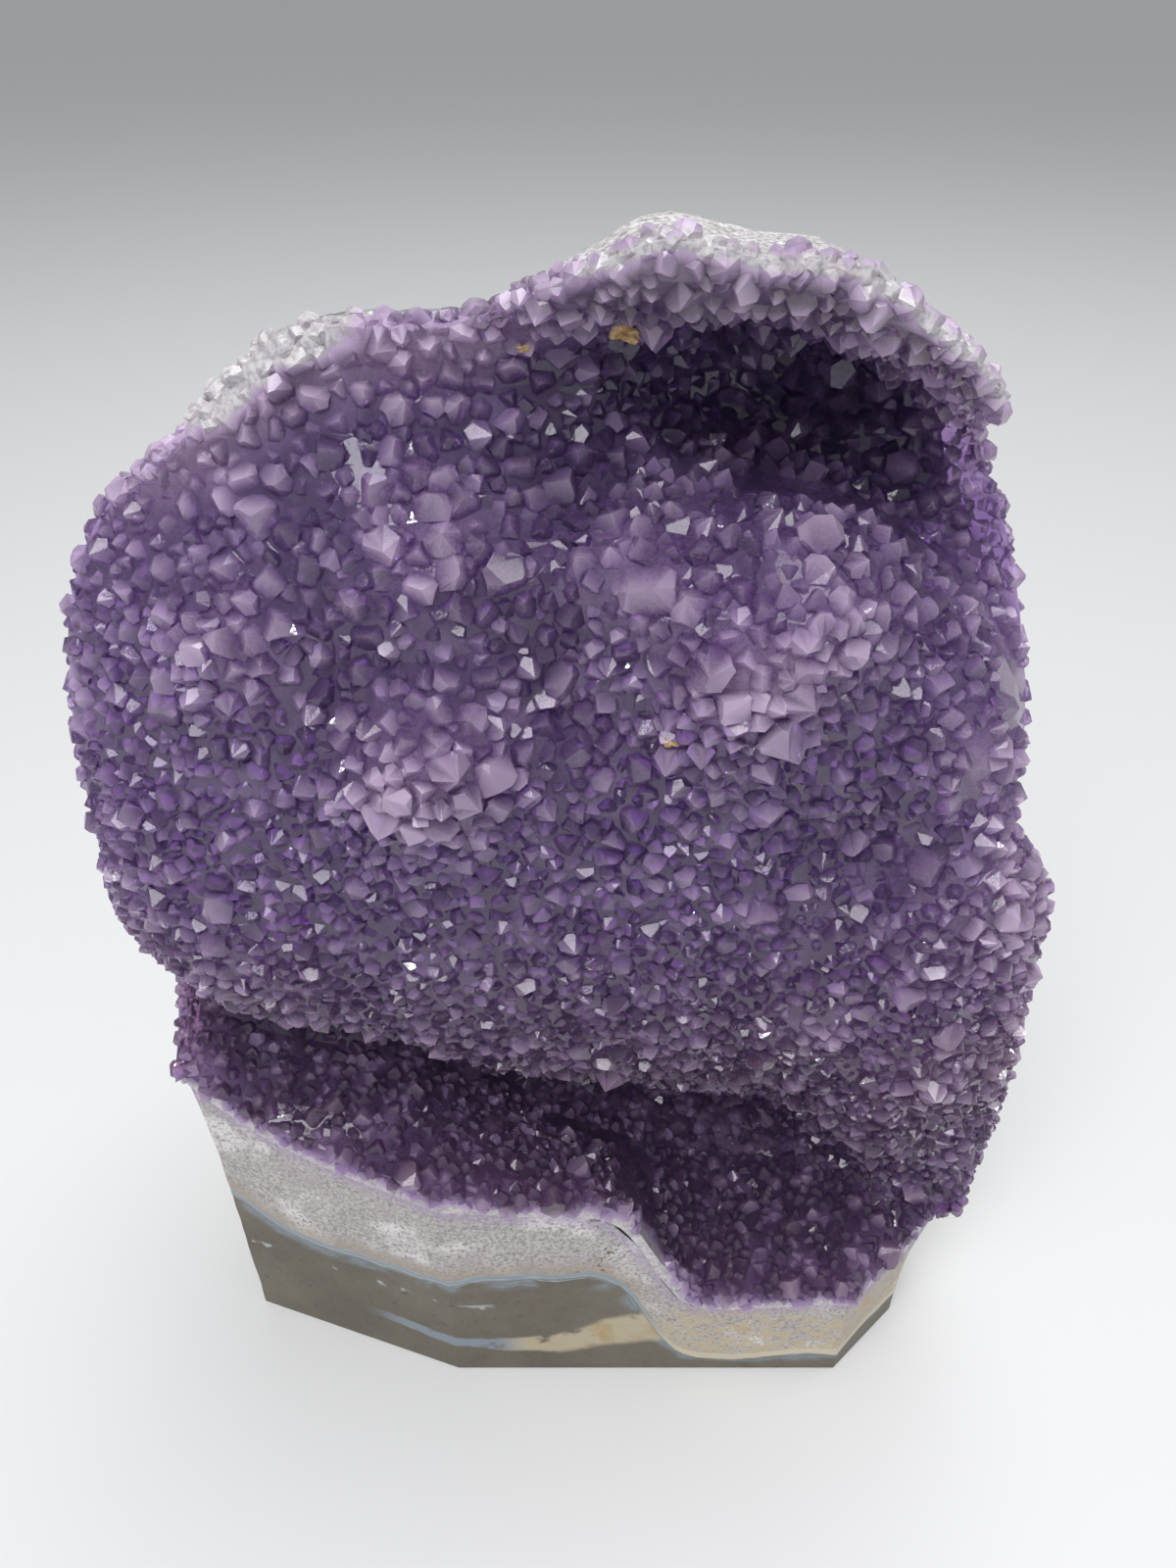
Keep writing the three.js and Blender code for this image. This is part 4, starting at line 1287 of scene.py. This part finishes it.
@dataclass
class Crust:
    """The amethyst crust: a bed in the shape of the open face, with crystals grown all over it.

    Attributes:
        face: The open face.
        slab: The slab that it ends with.
        moulds: Vertices and faces of one crystal of each habit.
        bed_depth: Depth of the bed below the crystals' mean surface, in millimetres.
        jitter: How far the crystals lean at random.
        overhang: How far they stand out in front of the sawn faces.
        coarse: How much coarser the bed's mesh is than the layers'.
        outline_steps: Number of points on the outline that distances from it are taken to.
        flank: How near the outline a place is on the flank.
        flank_depth: Least distance of a flank's face and of a crystal on it from the quartz.
        front_depth: The same on the open face.
        inside: How far inside the outline the largest crystals start.
        large: Radius from which a crystal is one of the largest.
        sowings: The sizes of crystal, from the largest.
    """

    face: OpenFace
    slab: Slab
    moulds: list[tuple[np.ndarray, list[np.ndarray]]]
    bed_depth: float = 1.3
    jitter: float = 0.24
    overhang: float = 2.6
    coarse: int = 3
    outline_steps: int = 500
    flank: float = 0.6
    flank_depth: tuple[float, float] = (1.2, 1.7)
    front_depth: tuple[float, float] = (2.6, 2.4)
    inside: float = 9.0
    large: float = 3.0
    sowings: tuple[Sowing, ...] = (
        Sowing(3.2, 1.15, 0.15, 170, 0.35, 0.60),
        Sowing(2.2, 0.66, 0.02, 5000, 0.75, 0.25),
        Sowing(1.72, 0.59, -0.12, 60000),
    )

    def bed(self) -> bpy.types.Object:
        """The crust without crystals."""
        bed = self.face.behind("amethyst_crust_looks", self.bed_depth, 0, 0.5, self.coarse)
        rear = self.face.behind("quartz_front", self.face.crust, 0, 0, self.coarse)
        combine(bed, rear, "DIFFERENCE")
        combine(bed, self.slab.prism("outline", 0.2), "INTERSECT")
        self.slab.saw(bed)
        return bed

    def fields(self, points: np.ndarray) -> dict[str, np.ndarray]:
        """How much each place belongs to the rim, the clusters, the hollow and the grooves.

        Args:
            points: Places in the tables' millimetres.

        Returns:
            Shares from 0 to 1 by name.
        """
        x, y, z = points.T
        line = self.slab.outline(np.linspace(0, 1, self.outline_steps))
        tree = search_tree(np.column_stack((line, np.zeros(len(line)))))
        edge = np.array([tree.find((a, b, 0))[2] for a, b in zip(x, z)])
        clusters = np.zeros(len(points))
        for swell_x, swell_z, radius, rise in SWELLS:
            if rise > 0:
                reach = ((x - swell_x) ** 2 + (z - swell_z) ** 2) / (0.8 * radius) ** 2
                clusters = np.maximum(clusters, rise / 8 * np.exp(-reach))
        shoulder = smoothstep(z, 203, 210) * (1 - smoothstep(x, -34, -22))
        top = np.maximum(shoulder, smoothstep(z, 198, 212) * smoothstep(x, -8, 2))
        return {
            "edge": edge,
            "rim": (1 - smoothstep(edge, 2, 13)) * smoothstep(z, 60, 90),
            "broken": (1 - smoothstep(edge - 2 * shoulder, 0.3, 2.2)) * top,
            "crown": (1 - smoothstep(edge, 4, 12)) * smoothstep(z, 190, 205),
            "cluster": clusters,
            # The hollow, the grooves and the shelf serve only the painted shade and light of the paleness.
            "hollow": smoothstep(y, -42, -24) * smoothstep(z, 185, 196),
            "groove": smoothstep(y, -42, -24) * (1 - smoothstep(z, 105, 130)),
            "shelf": (1 - smoothstep(z, 62, 80)) * (1 - smoothstep(y, -48, -38)),
        }

    def seeds(self, bed: bpy.types.Object, quartz: BVHTree, random: np.random.Generator) -> Seeds:
        """Chooses where the crystals stand.

        Args:
            bed: The crust without crystals.
            quartz: Search tree over the quartz behind it.
            random: The stream of random numbers.

        Returns:
            The crystals.
        """
        middles, _, _ = face_middles(bed)
        local = from_frame(middles)
        depth = distances(middles, quartz) / MM
        flank = self.fields(local)["edge"] < self.flank
        wanted = depth > np.where(flank, self.flank_depth[0], self.front_depth[0])
        wanted |= on_saw_cut(local, TOUCHING)
        kept: list[tuple[np.ndarray, float]] = []
        chosen = []
        for sowing in self.sowings:
            places, normals = sample(bed, wanted, sowing.tries, random)
            local = from_frame(places)
            share = self.fields(local)
            least = np.where(share["edge"] < self.flank, self.flank_depth[1], self.front_depth[1])
            open_to_front = distances(places, quartz) / MM > least
            upper = np.maximum(smoothstep(local[:, 2], 118, 160), share["cluster"])
            wish = sowing.lower + (sowing.upper - sowing.lower) * upper
            count = random.random(sowing.tries) < wish
            count &= open_to_front & ((share["edge"] > self.inside) | (sowing.radius < self.large))
            places, normals = places[count], normals[count]
            size = sowing.radius * (0.82 + 0.36 * random.random(len(places)))
            size *= 1 + 0.30 * share["cluster"][count]
            found = scatter(places, size * MM, sowing.spacing, kept)
            chosen.append((places[found], normals[found], size[found], np.full(len(found), sowing.rise)))
            LOG.info("%d crystals of %.1f mm", len(found), 2 * sowing.radius)
        places, normals, size, rise = (np.concatenate(parts) for parts in zip(*chosen))
        count = len(places)
        local = from_frame(places)
        share = self.fields(local)
        at_cut = on_saw_cut(local, TOUCHING)
        normals[at_cut] = normals[at_cut] * 0.6 + (0, 0, 0.8)
        at_edge = share["edge"] < 0.8
        normals[at_edge] = normals[at_edge] * 0.45 + (0, -0.9, 0.1)
        size[at_edge] *= 0.85
        loose = self.jitter * (1 - 0.4 * share["rim"])
        axes = normals + random.normal(size=(count, 3)) * loose[:, None] + self.spread(local)
        axes += (1 - smoothstep(local[:, 2], 105, 150))[:, None] * np.array([0.0, -0.1, 0.38])
        axes /= np.linalg.norm(axes, axis=1)[:, None]
        length = size * (0.25 * random.random(count) ** 2 + 0.30 * share["cluster"])
        places = places + normals * ((rise - 0.16) * size * MM)[:, None]
        return Seeds(
            places,
            axes,
            size * MM,
            length * MM,
            random.integers(0, len(self.moulds), count),
            random.random(count) * math.tau,
            random.random(count),
        )

    def spread(self, points: np.ndarray) -> np.ndarray:
        """How far the crystals of a cluster lean out from its middle."""
        lean = np.zeros((len(points), 3))
        for x, z, radius, rise in SWELLS:
            if rise > 3.5:
                away = points - (x, 0, z)
                away[:, 1] = 0
                near = np.exp(-(away**2).sum(axis=1) / radius**2)
                lean += away / radius * (0.5 * near * rise / 8)[:, None]
        return lean

    def build(self, quartz: bpy.types.Object, random: np.random.Generator) -> bpy.types.Object:
        """Builds the crust.

        Args:
            quartz: The quartz layer behind it.
            random: The stream of random numbers.

        Returns:
            One closed mesh, with attributes for its colour.
        """
        bed = self.bed()
        ground = tree_of(bed)
        set_trait(bed, "shade", np.full(len(bed.data.polygons), 0.5), "FACE")
        rear = tree_of(quartz)
        seeds = self.seeds(bed, rear, random)
        LOG.info("%d crystals to grow", len(seeds.places))
        seeds.grow_on(bed, self.moulds)
        self.slab.saw(bed, self.overhang)
        straighten(bed)
        points = points_of(bed)
        share = self.fields(from_frame(points))
        height = distances(points, ground) / MM
        # Own paleness at the rim and the crown; at the clusters partly own paleness and partly painted light
        # where they stand out.
        pale = 0.34 + 0.20 * share["rim"] + 0.36 * share["crown"] + 0.42 * share["cluster"]
        # Painted light on the shelf, which faces up.
        pale = pale + 0.10 * share["shelf"]
        # Painted shade in the hollow and the grooves under the overhangs.
        pale = pale - (0.26 * share["hollow"] + 0.14 * share["groove"]) * (1 - share["rim"])
        # Painted shade down between the crystals and painted light on their tips, by the height over the bed.
        pale = pale + 0.56 * (smoothstep(height, 0.1, 2.4) - 0.42)
        set_trait(bed, "pale", np.clip(pale, 0, 1))
        near_quartz = 1 - smoothstep(distances(points, rear) / MM, 1.0, 6.5)
        lip = near_quartz * on_saw_cut(from_frame(points), 3.5)
        flank = 0.5 * (share["edge"] < self.flank) * (height < 0.3)
        cloudy = 0.10 + 0.40 * share["cluster"] + 0.28 * share["crown"] + 0.08 * share["rim"]
        cloudy = np.maximum(cloudy * smoothstep(height, 0.2, 1.6), flank)
        milk = np.maximum(np.maximum(share["broken"], 0.8 * lip), cloudy)
        set_trait(bed, "milk", milk + 0.18 * waves(points, 0.006, 1.9, 2))
        return bed


@dataclass
class Layers:
    """Basalt, agate and white quartz, parted by the layers' fronts.

    Attributes:
        face: The open face, which all fronts follow.
        slab: The slab that is parted.
        ripple: Height of the fine waves of the agate's two sides, in millimetres.
        cuts: How often the edges of the sawn faces are cut, for the depths that their colours need.
    """

    face: OpenFace
    slab: Slab
    ripple: float = 1.6
    cuts: int = 2

    def build(self) -> dict[str, bpy.types.Object]:
        """Builds the three layers.

        Returns:
            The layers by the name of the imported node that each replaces.
        """
        face = self.face
        whole = self.slab.build("whole")
        self.slab.saw(whole)
        bare = {"depth": face.crust + face.gap, "quartz_share": 0, "ripple": 0}
        fronts = {
            "quartz_band": bare,
            "agate_band": {"depth": face.crust, "quartz_share": 1, "ripple": self.ripple},
            "basalt_matrix": {"depth": face.crust + face.agate, "quartz_share": 1, "ripple": self.ripple},
        }
        made = {}
        names = list(fronts)
        for number, name in enumerate(names):
            layer = copy_of(whole, f"{name}_looks")
            front = dict(fronts[name])
            front["depth"] += face.gap * (number > 0)
            combine(layer, face.behind("front", **front), "INTERSECT")
            if number < 2:
                combine(layer, face.behind("back", **fronts[names[number + 1]]), "DIFFERENCE")
            made[name] = layer
        bpy.data.objects.remove(whole)
        return made

    def mark(self, made: dict[str, bpy.types.Object], crust: bpy.types.Object) -> None:
        """Parts polished faces from broken ones and measures the depth in each layer.

        Args:
            made: The layers by name.
            crust: The crust in front of them.
        """
        for layer in made.values():
            middles, normals, _ = face_middles(layer)
            upright = np.abs(normals[:, 2]) < 0.02
            sawn = on_saw_cut(from_frame(middles), TOUCHING) & upright
            layer.data.polygons.foreach_set("material_index", sawn.astype(np.int32))
            choose(layer, "FACE", sawn)
            bpy.ops.mesh.quads_convert_to_tris(quad_method="BEAUTY", ngon_method="CLIP")
            bpy.ops.mesh.subdivide(number_cuts=self.cuts)
            bpy.ops.object.mode_set(mode="OBJECT")
        quartz, agate = made["quartz_band"], made["agate_band"]
        trees = {name: tree_of(piece) for name, piece in made.items()}
        set_trait(quartz, "below_crystals", distances(points_of(quartz), tree_of(crust)))
        set_trait(quartz, "above_agate", distances(points_of(quartz), trees["agate_band"]))
        basalt = made["basalt_matrix"]
        set_trait(basalt, "below_agate", distances(points_of(basalt), trees["agate_band"]))
        to_quartz = distances(points_of(agate), trees["quartz_band"])
        to_basalt = distances(points_of(agate), trees["basalt_matrix"])
        set_trait(agate, "across", to_quartz / np.maximum(to_quartz + to_basalt, 1e-9))


@dataclass
class Grains:
    """Tan grains caught between the crystals.

    Attributes:
        spots: x, z and size of each, in millimetres.
        stretch: How much longer or flatter than a ball they are, along x, y and z.
        roughness: Height of their roughness, as a share of their size.
        before: A place in front of the whole crust, in the tables' y.
    """

    spots: tuple[tuple[float, float, float], ...] = (
        (4.5, 219, 1.3), (-8, 216, 0.7), (-40, 92, 0.9), (33, 96, 0.9), (11, 170, 0.8),
    )
    stretch: tuple[float, float, float] = (1.2, 0.7, 0.7)
    roughness: float = 1.1
    before: float = -90.0

    def build(self, crust: bpy.types.Object) -> bpy.types.Object:
        """Lays the grains on the crust.

        Args:
            crust: The crust that carries them.

        Returns:
            One mesh of all grains.
        """
        tree = tree_of(crust)
        made = []
        for number, (x, z, size) in enumerate(self.spots):
            start = Vector(to_frame(np.array([x, self.before, z])))
            hit = tree.ray_cast(start, Vector((0, 1, 0)))[0]
            deselect()
            bpy.ops.mesh.primitive_ico_sphere_add(subdivisions=3, radius=size * MM, location=hit)
            grain = bpy.context.object
            bpy.ops.object.transform_apply(location=True, rotation=True, scale=True)
            points = points_of(grain)
            swell = self.roughness * waves(points, 0.9 * size * MM, 3.3 * number, 3)
            flat = (points - np.array(hit)) * np.array(self.stretch)
            move_points(grain, np.array(hit) + flat * (1 + swell)[:, None])
            made.append(grain)
        deselect()
        for grain in made:
            grain.select_set(True)
        bpy.context.view_layer.objects.active = made[0]
        bpy.ops.object.join()
        grains = bpy.context.object
        grains.name = "tan_grains"
        return grains


@dataclass
class Studio:
    """Plain floor, soft light and the camera.

    Attributes:
        eye: Place of the camera, in the tables' millimetres.
        pitch: How far it looks down, in degrees.
        lens: Its focal length, in millimetres.
        floor_width: Width of the floor, in metres.
        floor_drop: How far the floor lies below the base, in metres.
        air: Colour of the light from all around.
        air_strength: Its strength.
        lights: Name, place, size and power of each lamp.
        aim: The place that the lamps shine at.
    """

    eye: tuple[float, float, float] = (0.0, -177.0, 255.0)
    pitch: float = 36.15
    lens: float = 25.875
    floor_width: float = 80.0
    floor_drop: float = 0.0004
    air: Colour = (0.94, 0.95, 0.97)
    air_strength: float = 0.42
    lights: tuple[tuple[str, tuple[float, float, float], float, float], ...] = (
        ("key", (-0.30, -0.75, 1.25), 0.8, 12.0),
        ("top", (0.3, 0.3, 1.5), 0.9, 8.0),
        ("glint", (0.12, -0.62, 0.95), 0.05, 1.4),
    )
    aim: tuple[float, float, float] = (0.0, 0.0, 0.11)

    def build(self) -> None:
        """Sets up the floor, the lights and the camera."""
        deselect()
        bpy.ops.mesh.primitive_plane_add(size=self.floor_width, location=(0, 0, -self.floor_drop))
        floor = bpy.context.object
        floor.name = "floor"
        dress(floor, FloorFinish().material())
        world = bpy.data.worlds.new("room")
        bpy.context.scene.world = world
        world.use_nodes = True
        sky = world.node_tree.nodes["Background"]
        sky.inputs[0].default_value = (*self.air, 1)
        sky.inputs[1].default_value = self.air_strength
        for lamp in self.lights:
            self.light(*lamp)
        camera = bpy.data.objects.new("camera", bpy.data.cameras.new("camera"))
        bpy.context.scene.collection.objects.link(camera)
        camera.location = to_frame(np.array(self.eye))
        camera.rotation_euler = (math.radians(90 - self.pitch), 0, 0)
        camera.data.lens = self.lens
        camera.data.sensor_width = 36
        camera.data.clip_start = 0.01
        bpy.context.scene.camera = camera
        bpy.context.scene.view_settings.view_transform = "Standard"

    def light(self, name: str, place: tuple[float, float, float], size: float, power: float) -> None:
        """Adds one soft light that shines at the geode.

        Args:
            name: Name of the lamp.
            place: Its place, in metres.
            size: Its width, in metres.
            power: Its power, in watts.
        """
        lamp = bpy.data.lights.new(name, "AREA")
        lamp.size = size
        lamp.energy = power
        holder = bpy.data.objects.new(name, lamp)
        holder.location = place
        away = Vector(place) - Vector(self.aim)
        holder.rotation_euler = away.to_track_quat("Z", "Y").to_euler()
        bpy.context.scene.collection.objects.link(holder)


def main() -> None:
    """Builds the geode, dresses it and sets up the studio."""
    logging.basicConfig(level=logging.INFO, format="%(relativeCreated)6d ms %(message)s")
    random = np.random.default_rng(7)
    face, slab = OpenFace(), Slab()
    layers = Layers(face, slab)
    made = layers.build()
    moulds = [Mould().cast(habit) for habit in Habit]
    crust = Crust(face, slab, moulds).build(made["quartz_band"], random)
    layers.mark(made, crust)
    made["amethyst_crust"] = crust
    basalt, quartz, agate = BasaltFinish(), QuartzFinish(), AgateFinish().material()
    dress(made["basalt_matrix"], basalt.material(False), basalt.material(True))
    dress(made["quartz_band"], quartz.material(False), quartz.material(True))
    dress(made["agate_band"], agate, agate)
    dress(crust, AmethystFinish().material())
    for node, piece in made.items():
        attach(piece, "root")
        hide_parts(node)
        piece.data.calc_loop_triangles()
        LOG.info("%s: %d triangles", piece.name, len(piece.data.loop_triangles))
    grains = Grains().build(crust)
    dress(grains, GrainFinish().material())
    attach(grains, "root")
    Studio().build()


if __name__ == "__main__":
    main()
